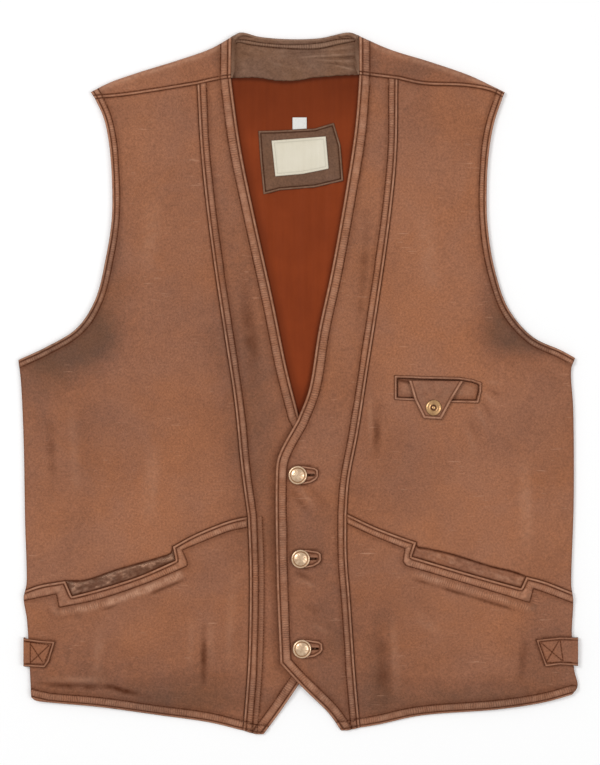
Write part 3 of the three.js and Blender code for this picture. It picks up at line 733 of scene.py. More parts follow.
def add_piece(name, mesh_data, material, nodes=()):
    """A finished piece in the frame, in metres, that rides on the vest."""
    vertices, faces, marks = mesh_data
    placed = np.array(vertices, float)
    placed[:, :2] += SHIFT
    mesh = bpy.data.meshes.new(name)
    mesh.from_pydata((placed * MM).tolist(), [], [[int(i) for i in face] for face in faces])
    mesh.update()
    for mark, values in marks.items():
        layer = mesh.attributes.new(mark, "FLOAT", "POINT")
        layer.data.foreach_set("value", np.asarray(values, np.float32))
    mesh.polygons.foreach_set("use_smooth", [True] * len(mesh.polygons))
    mesh.materials.append(material)
    piece = bpy.data.objects.new(name, mesh)
    bpy.context.scene.collection.objects.link(piece)
    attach(piece, "root")
    if nodes:
        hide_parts(*nodes)
    return piece


def flat_size(outline):
    """Sides of the smallest rectangle that a cut piece fits in, and its area, in metres."""
    best = None
    for angle in np.radians(np.arange(0, 90, 3)):
        turn = np.array([[math.cos(angle), -math.sin(angle)], [math.sin(angle), math.cos(angle)]])
        sides = np.ptp(outline @ turn, axis=0)
        if best is None or sides.prod() < best.prod():
            best = sides
    return tuple(best * MM), area_of(outline) * MM * MM


def declare(outline):
    sides, area = flat_size(outline)


def add_cut(name, node_name, mesh_data, outline, material, age=None):
    """A cut piece laid on what it rests on, with the tone of its leather and the painted shade in it."""
    if age is not None:
        mesh_data[2]["age"] = np.full(len(mesh_data[0]), age)
    piece = add_piece(name, mesh_data, material, [node_name])
    declare(outline)


# Where the hide's tone is darker or lighter, and where shade is painted: x, y, half width, half height, how
# much darker. The patches at (-70, 60), (62, 120) and (84, -300) are painted shade in the troughs of folds.
AGE_OF_ALL = 0.25
TONE_AND_SHADE_PATCHES = [
    (-214, 120, 26, 60, 0.5), (-240, 50, 46, 26, 1.35), (-262, 20, 40, 40, 0.4),
    (210, 110, 22, 60, 0.65), (240, 55, 45, 22, 1.1),
    (-150, -330, 120, 26, 0.42), (-230, -280, 60, 50, 0.05), (-110, -280, 40, 70, 0.2),
    (160, -335, 120, 24, 0.5), (84, -300, 16, 56, 0.35), (250, -290, 40, 50, 0.3),
    (-70, 60, 26, 160, 0.2), (-40, -90, 30, 140, 0.3), (30, -250, 40, 100, 0.35),
    (140, 0, 60, 60, -0.2), (150, 140, 70, 110, -0.3), (-150, 60, 60, 110, 0.05),
    (180, -250, 60, 60, -0.15), (-150, -140, 70, 50, -0.25), (200, -130, 70, 60, -0.25),
    (-150, -250, 60, 30, -0.2), (-82, 345, 14, 30, 0.35), (76, 345, 14, 30, 0.35),
    (140, 330, 60, 16, 0.3), (62, 120, 14, 90, 0.12),
]


def tone_and_shade_at(points):
    """How dark the hide is, from its tone and from painted shade, from 0 to 1."""
    x, y = points.T
    age = AGE_OF_ALL + 0.1 * uneven(points, 55, 3) + 0.06 * uneven(points, 22, 4)
    for cx, cy, wide, high, amount in TONE_AND_SHADE_PATCHES:
        age += amount * np.exp(-((x - cx) / wide) ** 2 - ((y - cy) / high) ** 2)
    return np.clip(age, 0, 1)


# Materials

def new_group(name, inputs, outputs):
    """A node group with its sockets, and its two end nodes."""
    group = bpy.data.node_groups.new(name, "ShaderNodeTree")
    for way, sockets in (("INPUT", inputs), ("OUTPUT", outputs)):
        for label, kind in sockets:
            group.interface.new_socket(label, in_out=way, socket_type="NodeSocket" + kind)
    return group, group.nodes.new("NodeGroupInput").outputs, group.nodes.new("NodeGroupOutput").inputs


def new_material(name):
    material = bpy.data.materials.new(name)
    material.use_nodes = True
    return material, material.node_tree, material.node_tree.nodes["Principled BSDF"].inputs


def fed(tree, socket, value):
    """A socket with a value, or linked to another node's output."""
    if hasattr(value, "links"):
        tree.links.new(value, socket)
    else:
        socket.default_value = value


def math_node(tree, operation, first, second=None, clamp=False):
    made = tree.nodes.new("ShaderNodeMath")
    made.operation = operation
    made.use_clamp = clamp
    fed(tree, made.inputs[0], first)
    if second is not None:
        fed(tree, made.inputs[1], second)
    return made.outputs[0]


def times(tree, first, second, clamp=False):
    return math_node(tree, "MULTIPLY", first, second, clamp)


def plus(tree, first, second, clamp=False):
    return math_node(tree, "ADD", first, second, clamp)


def mixed(tree, share, first, second, blend="MIX"):
    made = tree.nodes.new("ShaderNodeMix")
    made.data_type = "RGBA"
    made.blend_type = blend
    for socket, value in zip((made.inputs[0], made.inputs[6], made.inputs[7]), (share, first, second)):
        fed(tree, socket, value)
    return made.outputs[2]


def stretched(tree, value, low, high, to_low=0.0, to_high=1.0):
    made = tree.nodes.new("ShaderNodeMapRange")
    tree.links.new(value, made.inputs["Value"])
    for label, limit in (("From Min", low), ("From Max", high), ("To Min", to_low), ("To Max", to_high)):
        made.inputs[label].default_value = limit
    return made.outputs["Result"]


def object_place(tree):
    return tree.nodes.new("ShaderNodeTexCoord").outputs["Object"]


def noise(tree, place, scale, detail=3.0, roughness=0.55, distortion=0.0):
    made = tree.nodes.new("ShaderNodeTexNoise")
    tree.links.new(place, made.inputs["Vector"])
    for label, value in (("Scale", scale), ("Detail", detail), ("Roughness", roughness),
                         ("Distortion", distortion)):
        made.inputs[label].default_value = value
    return made.outputs["Fac"]


def mark(tree, name):
    made = tree.nodes.new("ShaderNodeAttribute")
    made.attribute_name = name
    return made.outputs["Fac"]


def add_bump(tree, inputs, height, strength, distance):
    """A shader's bump, its distance in metres."""
    bump = tree.nodes.new("ShaderNodeBump")
    bump.inputs["Strength"].default_value = strength
    bump.inputs["Distance"].default_value = distance
    tree.links.new(height, bump.inputs["Height"])
    tree.links.new(bump.outputs["Normal"], inputs["Normal"])


def hide_grain_group():
    """Pebbled grain, pores and the fine crinkle of a worn hide."""
    group, taken, given = new_group("hide grain", [("Cell", "Float"), ("Crinkle", "Float")],
                                    [("Height", "Float")])
    place = object_place(group)
    cells = group.nodes.new("ShaderNodeTexVoronoi")
    cells.feature = "DISTANCE_TO_EDGE"
    group.links.new(place, cells.inputs["Vector"])
    group.links.new(taken["Cell"], cells.inputs["Scale"])
    pebble = stretched(group, cells.outputs["Distance"], 0.0, 0.25)
    crinkle = noise(group, place, 260.0, 6.0, 0.65, 0.6)
    folded = math_node(group, "ABSOLUTE", math_node(group, "SUBTRACT", crinkle, 0.5))
    soft = noise(group, place, 90.0, 4.0, 0.6)
    height = plus(group, times(group, pebble, 0.35), times(group, folded, taken["Crinkle"]))
    group.links.new(plus(group, height, times(group, soft, 0.8)), given["Height"])
    return group


def hide_colour_group():
    """Colour of a worn hide: clouded, darker in its tone, with painted shade and at the seams, paler where
    it is rubbed and where highlights are painted, and painted lighter and darker along its ribs.
    """
    group, taken, given = new_group(
        "hide colour", [(label, "Color") for label in HIDE_SHADES],
        [("Color", "Color"), ("Dark", "Float"), ("Rub", "Float"), ("Ribs", "Float")])
    place = object_place(group)
    cloud = noise(group, place, 22.0, 5.0, 0.6, 0.4)
    mottle = noise(group, place, 130.0, 5.0, 0.65)
    speckle = noise(group, place, 480.0, 4.0, 0.7)
    age = plus(group, mark(group, "age"), times(group, math_node(group, "SUBTRACT", cloud, 0.5), 0.55))
    age = plus(group, age, times(group, math_node(group, "SUBTRACT", mottle, 0.5), 0.5), clamp=True)
    colour = mixed(group, stretched(group, age, 0.0, 0.45), taken["Pale"], taken["Middle"])
    colour = mixed(group, stretched(group, age, 0.4, 1.0), colour, taken["Dark tone and shade"])
    patch = stretched(group, noise(group, place, 13.0, 4.0, 0.6, 0.5), 0.36, 0.64)
    colour = mixed(group, 1.0, colour, mixed(group, patch, WARM_PATCH, COOL_PATCH), "MULTIPLY")
    fine = stretched(group, speckle, 0.34, 0.66, 0.77, 1.21)
    wave = times(group, mark(group, "along"), math.tau / RIB_LENGTH)
    swing = times(group, noise(group, place, 110.0, 2.0), 9.0)
    ribs = math_node(group, "SINE", plus(group, wave, swing))
    shown_ribs = stretched(group, noise(group, place, 26.0, 2.0), 0.38, 0.58, 0.25, 1.0)
    ribs = times(group, ribs, times(group, mark(group, "ribbed"), shown_ribs))
    group.links.new(ribs, given["Ribs"])
    # Painted light and shade on the ribs: lighter on their crests and darker between them
    fine = times(group, fine, stretched(group, ribs, -1.0, 1.0, 0.74, 1.24))
    tint = group.nodes.new("ShaderNodeVectorMath")
    tint.operation = "SCALE"
    group.links.new(colour, tint.inputs[0])
    group.links.new(fine, tint.inputs["Scale"])
    patchy = noise(group, place, 160.0, 3.0, 0.6)
    dark = times(group, mark(group, "dark"), stretched(group, patchy, 0.3, 0.7, 0.7, 1.15), clamp=True)
    rub = times(group, mark(group, "rub"), stretched(group, patchy, 0.25, 0.6, 0.1, 1.0), clamp=True)
    slanted = group.nodes.new("ShaderNodeMapping")
    slanted.inputs["Rotation"].default_value = (0, 0, SCRATCH_TURN)
    slanted.inputs["Scale"].default_value = SCRATCH_SCALE
    group.links.new(place, slanted.inputs["Vector"])
    scratch = stretched(group, noise(group, slanted.outputs["Vector"], 1.0, 2.0, 0.5, 0.3), 0.66, 0.73)
    worn = stretched(group, noise(group, place, 30.0, 2.0), 0.5, 0.62)
    rub = math_node(group, "MAXIMUM", rub, times(group, times(group, scratch, worn), 0.55))
    # The painted highlight and rubbed wear are strongest on the ribs' crests; the colour then goes to the
    # seam and shade colour at seam lines and painted shade
    rub_and_highlight_share = times(group, rub, stretched(group, ribs, -1.0, 1.0, 0.5, 0.85))
    shown = mixed(group, rub_and_highlight_share, tint.outputs[0], taken["Rubbed and lit"])
    shown = mixed(group, dark, shown, taken["Seam"])
    for label, value in (("Color", shown), ("Dark", dark), ("Rub", rub)):
        group.links.new(value, given[label])
    return group


HIDE_SHADES = ("Pale", "Middle", "Dark tone and shade", "Seam", "Rubbed and lit")
WARM_PATCH = (1.03, 0.985, 0.91, 1)
COOL_PATCH = (0.965, 1.005, 1.09, 1)
SCRATCH_TURN = 0.9
SCRATCH_SCALE = (55, 620, 55)
RIB_LENGTH = 0.0024
RIB_DEPTH = 0.6
GRAIN_CELLS = 620.0
GRAIN_CRINKLE = 2.2
GRAIN_DEPTH = 0.0004
hide_grain = hide_grain_group()
hide_colour = hide_colour_group()
LEATHER_GLOSS = (1.0, 0.72, 0.5, 1)


def leather_material(name, colours, roughness, specular, grain):
    """Leather of the hide colour and grain, glossier where it is rubbed and where highlights are painted,
    and duller where it is dark.
    """
    material, tree, inputs = new_material(name)
    colour = tree.nodes.new("ShaderNodeGroup")
    colour.node_tree = hide_colour
    for label, value in zip(HIDE_SHADES, colours):
        colour.inputs[label].default_value = (*value, 1)
    pattern = tree.nodes.new("ShaderNodeGroup")
    pattern.node_tree = hide_grain
    pattern.inputs["Cell"].default_value = GRAIN_CELLS
    pattern.inputs["Crinkle"].default_value = GRAIN_CRINKLE
    tree.links.new(colour.outputs["Color"], inputs["Base Color"])
    sheen = noise(tree, object_place(tree), 60.0, 4.0)
    rough = stretched(tree, sheen, 0.3, 0.7, roughness - 0.07, roughness + 0.08)
    rough = math_node(tree, "SUBTRACT", rough, times(tree, colour.outputs["Rub"], 0.2))
    tree.links.new(plus(tree, rough, times(tree, colour.outputs["Dark"], 0.3)), inputs["Roughness"])
    inputs["Specular IOR Level"].default_value = specular
    inputs["Specular Tint"].default_value = LEATHER_GLOSS
    ribs = times(tree, colour.outputs["Ribs"], RIB_DEPTH)
    add_bump(tree, inputs, plus(tree, pattern.outputs["Height"], ribs), grain, GRAIN_DEPTH)
    return material


# Colours of each leather in the order of HIDE_SHADES: pale, middle and darkest tone, the colour of seam
# lines and painted shade, and the colour where it is rubbed and where highlights are painted
BROWN = [(0.35, 0.137, 0.069), (0.26, 0.101, 0.054), (0.138, 0.061, 0.037), (0.072, 0.0138, 0.0026),
         (0.6, 0.32, 0.205)]
TAUPE = [(0.22, 0.112, 0.069), (0.175, 0.089, 0.055), (0.10, 0.048, 0.029), (0.042, 0.013, 0.005),
         (0.38, 0.23, 0.155)]
brown_leather = leather_material("worn brown leather", BROWN, 0.47, 0.34, 0.85)
welt_leather = leather_material("polished welt leather", BROWN, 0.28, 0.6, 0.5)
taupe_leather = leather_material("taupe leather", TAUPE, 0.6, 0.25, 0.6)


CLOTH_GLOSS = 0.06
THREAD_LIGHT = (0.085, 0.019, 0.006, 1)
THREAD_DEEP = (0.045, 0.01, 0.003, 1)
THREAD_TWIST = 1400.0
STREAK_SCALE = (260.0, 14.0, 14.0)


def thread_material():
    material, tree, inputs = new_material("waxed thread")
    place = object_place(tree)
    shade = mixed(tree, noise(tree, place, 500.0, 2.0), THREAD_LIGHT, THREAD_DEEP)
    tree.links.new(shade, inputs["Base Color"])
    twist = tree.nodes.new("ShaderNodeTexWave")
    twist.bands_direction = "DIAGONAL"
    twist.inputs["Scale"].default_value = THREAD_TWIST
    tree.links.new(place, twist.inputs["Vector"])
    add_bump(tree, inputs, twist.outputs["Fac"], 0.4, 0.0001)
    inputs["Roughness"].default_value = 0.6
    inputs["Specular IOR Level"].default_value = CLOTH_GLOSS
    return material


def woven_material(name, light, deep, warp, weft, roughness, depth, sheen):
    """Cloth of a plain weave, its warp and weft in threads to the metre."""
    material, tree, inputs = new_material(name)
    place = object_place(tree)
    split = tree.nodes.new("ShaderNodeSeparateXYZ")
    tree.links.new(place, split.inputs[0])
    across = math_node(tree, "SINE", times(tree, split.outputs["X"], warp * math.tau))
    down = math_node(tree, "SINE", times(tree, split.outputs["Y"], weft * math.tau))
    cloud = noise(tree, place, 18.0, 4.0)
    streak = tree.nodes.new("ShaderNodeMapping")
    streak.inputs["Scale"].default_value = STREAK_SCALE
    tree.links.new(place, streak.inputs["Vector"])
    slub = noise(tree, streak.outputs["Vector"], 1.0, 3.0)
    share = plus(tree, times(tree, cloud, 0.75), times(tree, slub, 0.25))
    colour = mixed(tree, stretched(tree, share, 0.3, 0.7), (*light, 1), (*deep, 1))
    # Darker toward a deep shade of the cloth where the dark mark is, which carries painted shade
    colour = mixed(tree, stretched(tree, mark(tree, "dark"), 0.0, 1.0, 0.0, 0.85), colour,
                   (*[0.3 * c for c in deep], 1))
    tree.links.new(colour, inputs["Base Color"])
    for label, value in (("Roughness", roughness), ("Specular IOR Level", CLOTH_GLOSS),
                         ("Sheen Weight", sheen), ("Sheen Roughness", 0.4)):
        inputs[label].default_value = value
    add_bump(tree, inputs, plus(tree, times(tree, across, down), times(tree, slub, 2.0)), depth, 0.0002)
    return material


def brass_material(name, bright, deep):
    """Brass that is stained, and dark in its hollows."""
    material, tree, inputs = new_material(name)
    place = object_place(tree)
    stain = stretched(tree, noise(tree, place, 260.0, 4.0, 0.6), 0.35, 0.75, 0.0, 0.6)
    share = plus(tree, stain, mark(tree, "dark"), clamp=True)
    tree.links.new(mixed(tree, share, (*bright, 1), (*deep, 1)), inputs["Base Color"])
    inputs["Metallic"].default_value = 0.72
    tree.links.new(stretched(tree, share, 0.0, 1.0, 0.26, 0.5), inputs["Roughness"])
    add_bump(tree, inputs, noise(tree, place, 900.0, 3.0), 0.35, 0.0002)
    return material


waxed_thread = thread_material()
rust_satin = woven_material("rust satin", (0.275, 0.049, 0.0115), (0.2, 0.034, 0.0085), 1500.0, 1500.0,
                            0.55, 0.25, 0.0)
label_cloth = woven_material("cream woven cloth", (0.86, 0.8, 0.66), (0.74, 0.67, 0.52), 900.0, 1100.0,
                             0.8, 0.6, 0.1)
tag_tape = woven_material("white tape", (0.88, 0.87, 0.84), (0.78, 0.77, 0.73), 1200.0, 900.0,
                          0.75, 0.5, 0.1)
brass = brass_material("aged brass", (0.95, 0.69, 0.46), (0.34, 0.17, 0.08))
snap_brass = brass_material("orange snap brass", (0.72, 0.42, 0.19), (0.1, 0.035, 0.02))


# Fronts

# Lumps of a hide that has been worn: how far across they are, their height and the seed of each
LUMPS = [(46, 0.32, 21), (19, 0.2, 22), (8, 0.1, 23), (4.5, 0.05, 24)]


def wavy(points):
    return sum(height * uneven(points, size, seed) for size, height, seed in LUMPS)


# The roll below a pocket's far row: from how far along the row and to what share of it, how far below the
# row its middle and its crease lie, and where its painted highlight is brightest, how far to either side,
# and how much
ROLL_FROM = 90.0
ROLL_TO = 0.86
ROLL_MIDDLE = 5.6
ROLL_HALF = 3.6
ROLL_HEIGHT = 1.1
ROLL_CREASE = 12.0
ROLL_SHINE = {"right": (118, 62, 1.6), "left": (110, 70, 0.5)}


def pocket_roll(points, row):
    """The gathered roll of slack leather below a pocket's far row, with a painted highlight along it and
    painted shade in its crease.
    """
    below, along = measure(row, points)
    length = np.hypot(*np.diff(row, axis=0).T).sum()
    ends = smooth((along - ROLL_FROM) / 20) * smooth((ROLL_TO * length - along) / 22)
    under = points[:, 1] < np.interp(points[:, 0], *row[np.argsort(row[:, 0])].T)
    body = bell(below - ROLL_MIDDLE, ROLL_HALF) * ends * under
    gathers = 0.6 * uneven(points * (1, 0.4), 3.2, 95) + uneven(points * (1, 0.6), 9, 96)
    broken = np.clip(0.55 + uneven(points, 18, 97), 0, 1)
    crease = 0.8 * bell(below - ROLL_CREASE, 1.7) * ends * under * broken
    middle, reach, shine = ROLL_SHINE["right" if row[0, 0] < 0 else "left"]
    shine *= 0.35 + 0.65 * bell(along - middle, reach)
    bright = np.clip(shine * body * (0.95 + 0.7 * gathers), 0, 1)
    return body * (ROLL_HEIGHT + 0.25 * gathers) - crease, body, bright, crease, along


BINDING_SHADE = 0.7
BUTTON_SHADE = 0.55
BUTTON_SHADE_FROM = 9.0
SEAM_CLEAR = 9.0
binding_rings = [curve(closed(np.array(BUTTONHOLE) + button), 1.5) for button in BUTTONS]


def front_top(surface, bands, covered_by=None, ring=None, roll_row=None, tab=None):
    """Top of a front panel: the solid's form, its seams and edges, and its creases, with painted shade and
    highlight.
    """
    def top(points):
        shape, marks = relief(points, bands)
        from_seam = to_line(ring, points)
        crease = fold_height(points, CREASES) * smooth(from_seam / SEAM_CLEAR)
        shape = shape + wavy(points) * smooth(from_seam / SEAM_CLEAR) + crease
        broken = 0.7 + 0.5 * uneven(points, 11, 31)
        # Painted shade in the creases' troughs
        deepen(marks, "dark", 0.8 * broken * np.clip(-crease / 0.9, 0, 1))
        # Painted shade round each buttonhole's binding and a painted shadow round each button
        for binding, button in zip(binding_rings, BUTTONS):
            beside = to_line(binding, points)
            from_button = np.hypot(*(points - button).T)
            deepen(marks, "dark", BINDING_SHADE * fade(beside, 0.2, 1.8),
                   BUTTON_SHADE * fade(from_button, BUTTON_SHADE_FROM, 4))
        # Painted highlight on the creases' ridges
        deepen(marks, "rub", 0.35 * np.clip(crease / 0.8, 0, 1))
        if roll_row is not None:
            roll, body, bright, dent, along = pocket_roll(points, roll_row)
            shape = shape + roll
            # Painted highlight along the pocket roll and painted shade in its crease
            deepen(marks, "rub", bright)
            deepen(marks, "dark", dent)
            on_roll = body > np.maximum(0.1, marks["ribbed"])
            marks["ribbed"] = np.where(on_roll, body, marks["ribbed"])
            marks["along"] = np.where(on_roll, along * MM, marks["along"])
        if tab is not None:
            # Painted shadow round the side tab
            deepen(marks, "dark", 0.6 * fade(to_line(tab, points), 0.3, 2.6))
        if covered_by is not None:
            apart = to_edge(covered_by, points)
            depth = np.where(inside(covered_by, points), apart, 0)
            # Painted shadow of the left front's edge on the right front
            deepen(marks, "dark", 0.5 * fade(apart, 1, 9))
            shape = shape * fade(depth, 1, 4) + np.minimum(shape, 0) * smooth((depth - 1) / 4)
        return surface(points) + FRONT + shape, marks
    return top


def line_of(side, *names):
    """One line through several edge curves, with the corners between them kept."""
    return join(*[spaced(side[name], LINE_STEP) for name in names])


def pocket_row_of(side_name):
    return join(*[curve(run, 2.0) for run in POCKET_ROWS[side_name]])


# Where the right hem's band runs out past the side seam
HEM_RUN_OUT = [(-292, -327), (-266.5, -332.8)]


def seams_of(side):
    """What each edge of a side's three front panels is."""
    front = line_of(side, "point", "front", "neck")
    hem_lower = line_of(side, "hem_lower")
    third = []
    if side is right_fine:
        hem_lower = join(HEM_RUN_OUT, hem_lower[hem_lower[:, 0] > HEM_RUN_OUT[-1][0] + 1])
        third = [("third_row", line_of(side, "princess_lower"))]
    pocket_row = pocket_row_of("right" if side is right_fine else "left")
    return {
        "center": [("front_edge", front), ("hem_edge", line_of(side, "hem_center")),
                   ("princess_seam", line_of(side, "princess", "princess_lower")),
                   ("tucked", line_of(side, "shoulder_center"))] + third,
        "side": [("armhole_edge", line_of(side, "armhole")), ("tucked", line_of(side, "princess")),
                 ("tucked", line_of(side, "shoulder_side")),
                 ("tucked", line_of(side, "pocket_front", "welt_top", "pocket_back")),
                 ("rolled", line_of(side, "side_upper"))],
        "lower": [("pocket_seam", line_of(side, "pocket_front", "pocket_step", "mouth", "pocket_step_back",
                                          "pocket_back"), pocket_row),
                  ("hem_edge", hem_lower), ("tucked", line_of(side, "princess_lower")),
                  ("rolled", line_of(side, "side_lower"))],
    }


def evened(corners, step=EDGE_STEP):
    """An anticlockwise loop with points a step apart, through corners that run either way round."""
    return loop(spaced(closed(np.array(corners, float)), step)[:-1])


SLOT = ((-4, -1.8), (18, -1.8), (18, 1.8), (-4, 1.8))
CHEST_RIM_WIDTH = 3.2
chest_rim = evened(CHEST_RIM)
chest_window = evened(inset(loop(np.array(CHEST_RIM, float)), CHEST_RIM_WIDTH))

TABS = {"right": RIGHT["tab"], "left": LEFT["tab"]}
sides = (("right", right_fine, right_cut, underside), ("left", left_fine, left_cut, left_underside))
front_holes = {"left_front_center": [evened(np.array(SLOT) + button)[::-1] for button in BUTTONS],
               "left_front_side": [chest_window[::-1]]}
tops = {}
for side_name, side, cut, surface in sides:
    covered = left_cut["center"] if side_name == "right" else None
    for panel, seams in seams_of(side).items():
        outline = inset(cut[panel], SEAM)
        name = side_name + "_front_" + panel
        lower = panel == "lower"
        roll_row = pocket_row_of(side_name) if lower else None
        tab = spaced(TABS[side_name], 2.0) if lower else None
        tops[name] = front_top(surface, seams, covered, closed(cut[panel][::3]), roll_row, tab)
        made = cloth(outline, tops[name], lifted(surface), holes=front_holes.get(name, ()), detail=roll_row)
        add_cut(name + "_leather", name, made, outline, brown_leather, age=tone_and_shade_at(made[0][:, :2]))
    print(side_name, "fronts made")


# Back, with the shoulders that fold over to the forward shoulder seams

# The round of the shoulder fold, the height of its lowest edge, and the points across and along a shoulder
FOLD_ROUND = 4.5
LOW_EDGE = BACK / 2
YOKE_START = (0, 0.12, 0.45, 1.0, 1.8, 2.9)
YOKE_END = (6.0, 4.6, 3.7, 3.1, 2.5, 1.8, 1.1, 0.5, 0)
YOKE_MIDDLE = 17
YOKE_FINE = 0.09
YOKE_FINE_STRIPS = 19
YOKE_STRIPS = 75
NECK_ENDS = (-70.75, 63.5)
BACK_CREASES = [
    (-180, 120, -60, 60, 16, 0.5), (60, 160, 190, 120, 14, -0.5), (-120, -80, -40, -220, 18, -0.5),
    (90, -60, 150, -200, 20, 0.45), (-10, 300, 20, 160, 14, 0.4), (-220, -60, -200, -240, 14, 0.45),
    (200, 20, 214, -120, 16, -0.5), (-20, -120, 30, -260, 16, 0.4),
]


def yoke_bands(side):
    neck_end = np.array([side["shoulder_fold"][0], side["shoulder_center"][0]])
    arm_end = np.array([side["shoulder_fold"][-1], side["shoulder_side"][-1]])
    return [("shoulder_seam", line_of(side, "shoulder_center", "shoulder_side")),
            ("collar_edge", spaced(neck_end, LINE_STEP)), ("armhole_edge", spaced(arm_end, LINE_STEP))]


def yoke_top(side):
    fold = spaced(side["shoulder_fold"], LINE_STEP)
    bands = yoke_bands(side)

    def top(points):
        from_fold = to_line(fold, points)
        shape, marks = relief(points, bands)
        shape = (shape + 0.8 * wavy(points)) * smooth(from_fold / 5)
        # Painted highlight along the rounded shoulder fold
        deepen(marks, "rub", 0.6 * bell(from_fold - 3, 3))
        return BACK + (underside(points) + FRONT - BACK) * round_over(from_fold, FOLD_ROUND) + shape, marks
    return top


def yoke(side, top):
    """A shoulder from its fold to its seam, as a closed strip."""
    seam = join(side["shoulder_center"], side["shoulder_side"])
    shares = np.r_[np.linspace(0, YOKE_FINE, YOKE_FINE_STRIPS + 1)[:-1],
                   np.linspace(YOKE_FINE, 1 - YOKE_FINE, YOKE_STRIPS + 1)[:-1],
                   np.linspace(1 - YOKE_FINE, 1, YOKE_FINE_STRIPS + 1)]
    fold, seam = (spaced(line, 0.25) for line in (side["shoulder_fold"], seam))
    fold, seam = (line[(shares * (len(line) - 1)).round().astype(int)] for line in (fold, seam))
    rows = []
    for start, end in zip(fold, seam):
        width = math.hypot(*(end - start)) - SEAM
        room = min(1, 0.8 * width / (YOKE_START[-1] + YOKE_END[0]))
        near_fold, near_seam = np.array(YOKE_START) * room, width - np.array(YOKE_END) * room
        middle = np.linspace(near_fold[-1], near_seam[0], YOKE_MIDDLE + 2)[1:-1]
        apart = np.r_[near_fold, middle, near_seam]
        rows.append(start + (end - start) / (width + SEAM) * apart[:, None])
    points = np.array(rows)
    along, across = points.shape[:2]
    flat = points.reshape(-1, 2)
    top_z, marks = top(flat)
    from_fold = to_line(spaced(side["shoulder_fold"], LINE_STEP), flat)
    low_rise = round_over(from_fold - BACK, FOLD_ROUND)
    bottom_z = LOW_EDGE + (underside(flat) + FRONT - BACK - LOW_EDGE) * low_rise
    vertices = np.vstack([np.c_[flat, top_z], np.c_[flat, bottom_z]])
    low = len(flat)
    faces = []
    for i in range(along - 1):
        for j in range(across - 1):
            a, b = i * across + j, i * across + j + 1
            c, d = a + across, b + across
            faces += [(a, b, d, c), (c + low, d + low, b + low, a + low)]
        a, c = i * across, (i + 1) * across
        faces.append((a, c, c + low, a + low))
        a, c = a + across - 1, c + across - 1
        faces.append((c, a, a + low, c + low))
    last = (along - 1) * across
    for j in range(across - 1):
        a, b = last + j, last + j + 1
        faces += [(j + 1, j, j + low, j + 1 + low), (a, b, b + low, a + low)]
    first, second, third = (vertices[i] for i in faces[0][:3])
    if np.cross(second - first, third - second)[2] < 0:
        faces = [face[::-1] for face in faces]
    return vertices, faces, {name: np.r_[values, np.zeros(low)] for name, values in marks.items()}


def together(*parts):
    """Several meshes as one."""
    faces, count = [], 0
    for vertices, part_faces, marks in parts:
        faces += [tuple(int(i) + count for i in face) for face in part_faces]
        count += len(vertices)
    vertices, _, marks = zip(*parts)
    return np.vstack(vertices), faces, {name: np.concatenate([part[name] for part in marks])
                                        for name in MARKS}


back_cut = loop(curve(BACK_NECK, EDGE_STEP), left_fine["shoulder_fold"], left_fine["armhole"],
                left_fine["side_upper"], left_fine["side_lower"], curve(BACK_HEM, EDGE_STEP)[::-1],
                right_fine["side_lower"][::-1], right_fine["side_upper"][::-1],
                right_fine["armhole"][::-1], right_fine["shoulder_fold"][::-1])
back_bands = [("hem_edge", curve(BACK_HEM, LINE_STEP)), ("armhole_edge", line_of(right_fine, "armhole")),
              ("armhole_edge", line_of(left_fine, "armhole")),
              ("rolled", line_of(right_fine, "side_upper", "side_lower")),
              ("rolled", line_of(left_fine, "side_upper", "side_lower"))]
BACK_HOLLOW = 0.25
BACK_HOLLOW_MOST = 1.1


def back_under(points):
    """The outer face of the back, which rests on the table: only its grooves and hollows leave it."""
    shape, marks = relief(points, back_bands)
    from_edge = to_edge(back_cut[::3], points)
    folds = 0.8 * wavy(points) + fold_height(points, BACK_CREASES)
    shape = shape + folds * smooth(from_edge / SEAM_CLEAR)
    return np.clip(BACK_HOLLOW - shape, 0, BACK_HOLLOW_MOST), marks


END_FACE = 0.6
yoke_tops = {"right": yoke_top(right_fine), "left": yoke_top(left_fine)}
back_outline = inset(back_cut, SEAM)
back_mesh = together(
    cloth(back_outline, plain_height(BACK), back_under, grid=4.2, fine_under=True),
    yoke(right_fine, yoke_tops["right"]), yoke(left_fine, yoke_tops["left"]))
back_mesh[2]["age"] = tone_and_shade_at(back_mesh[0][:, :2])
back_leather = add_piece("back_leather", back_mesh, brown_leather, ["back_panel"])
for polygon in back_leather.data.polygons:
    at_neck = min(abs(polygon.center.x / MM - SHIFT[0] - end) for end in NECK_ENDS) < END_FACE
    if at_neck and abs(polygon.normal.x) > 0.9:
        polygon.use_smooth = False
print("back made")


# Lining, neck facing and labels

LINING_FOLDS = [
    (-44, 330, -24, 30, 7, 1.0), (-36, 330, -20, 60, 5, -0.6), (7, 335, 6, -20, 8, 0.9),
    (14, 335, 12, 60, 5, -0.6), (42, 335, 26, 60, 7, 0.9), (34, 325, 22, 90, 5, -0.5),
    (-18, 190, -8, 20, 9, 0.6), (20, 180, 14, 30, 8, 0.5), (-56, 300, -40, 190, 5, 0.5),
]


def past_neck(side, points):
    """How far each point lies past the line of a front's neck edge, toward +X."""
    return points[:, 0] - np.interp(points[:, 1], side["neck"][:, 1], side["neck"][:, 0])


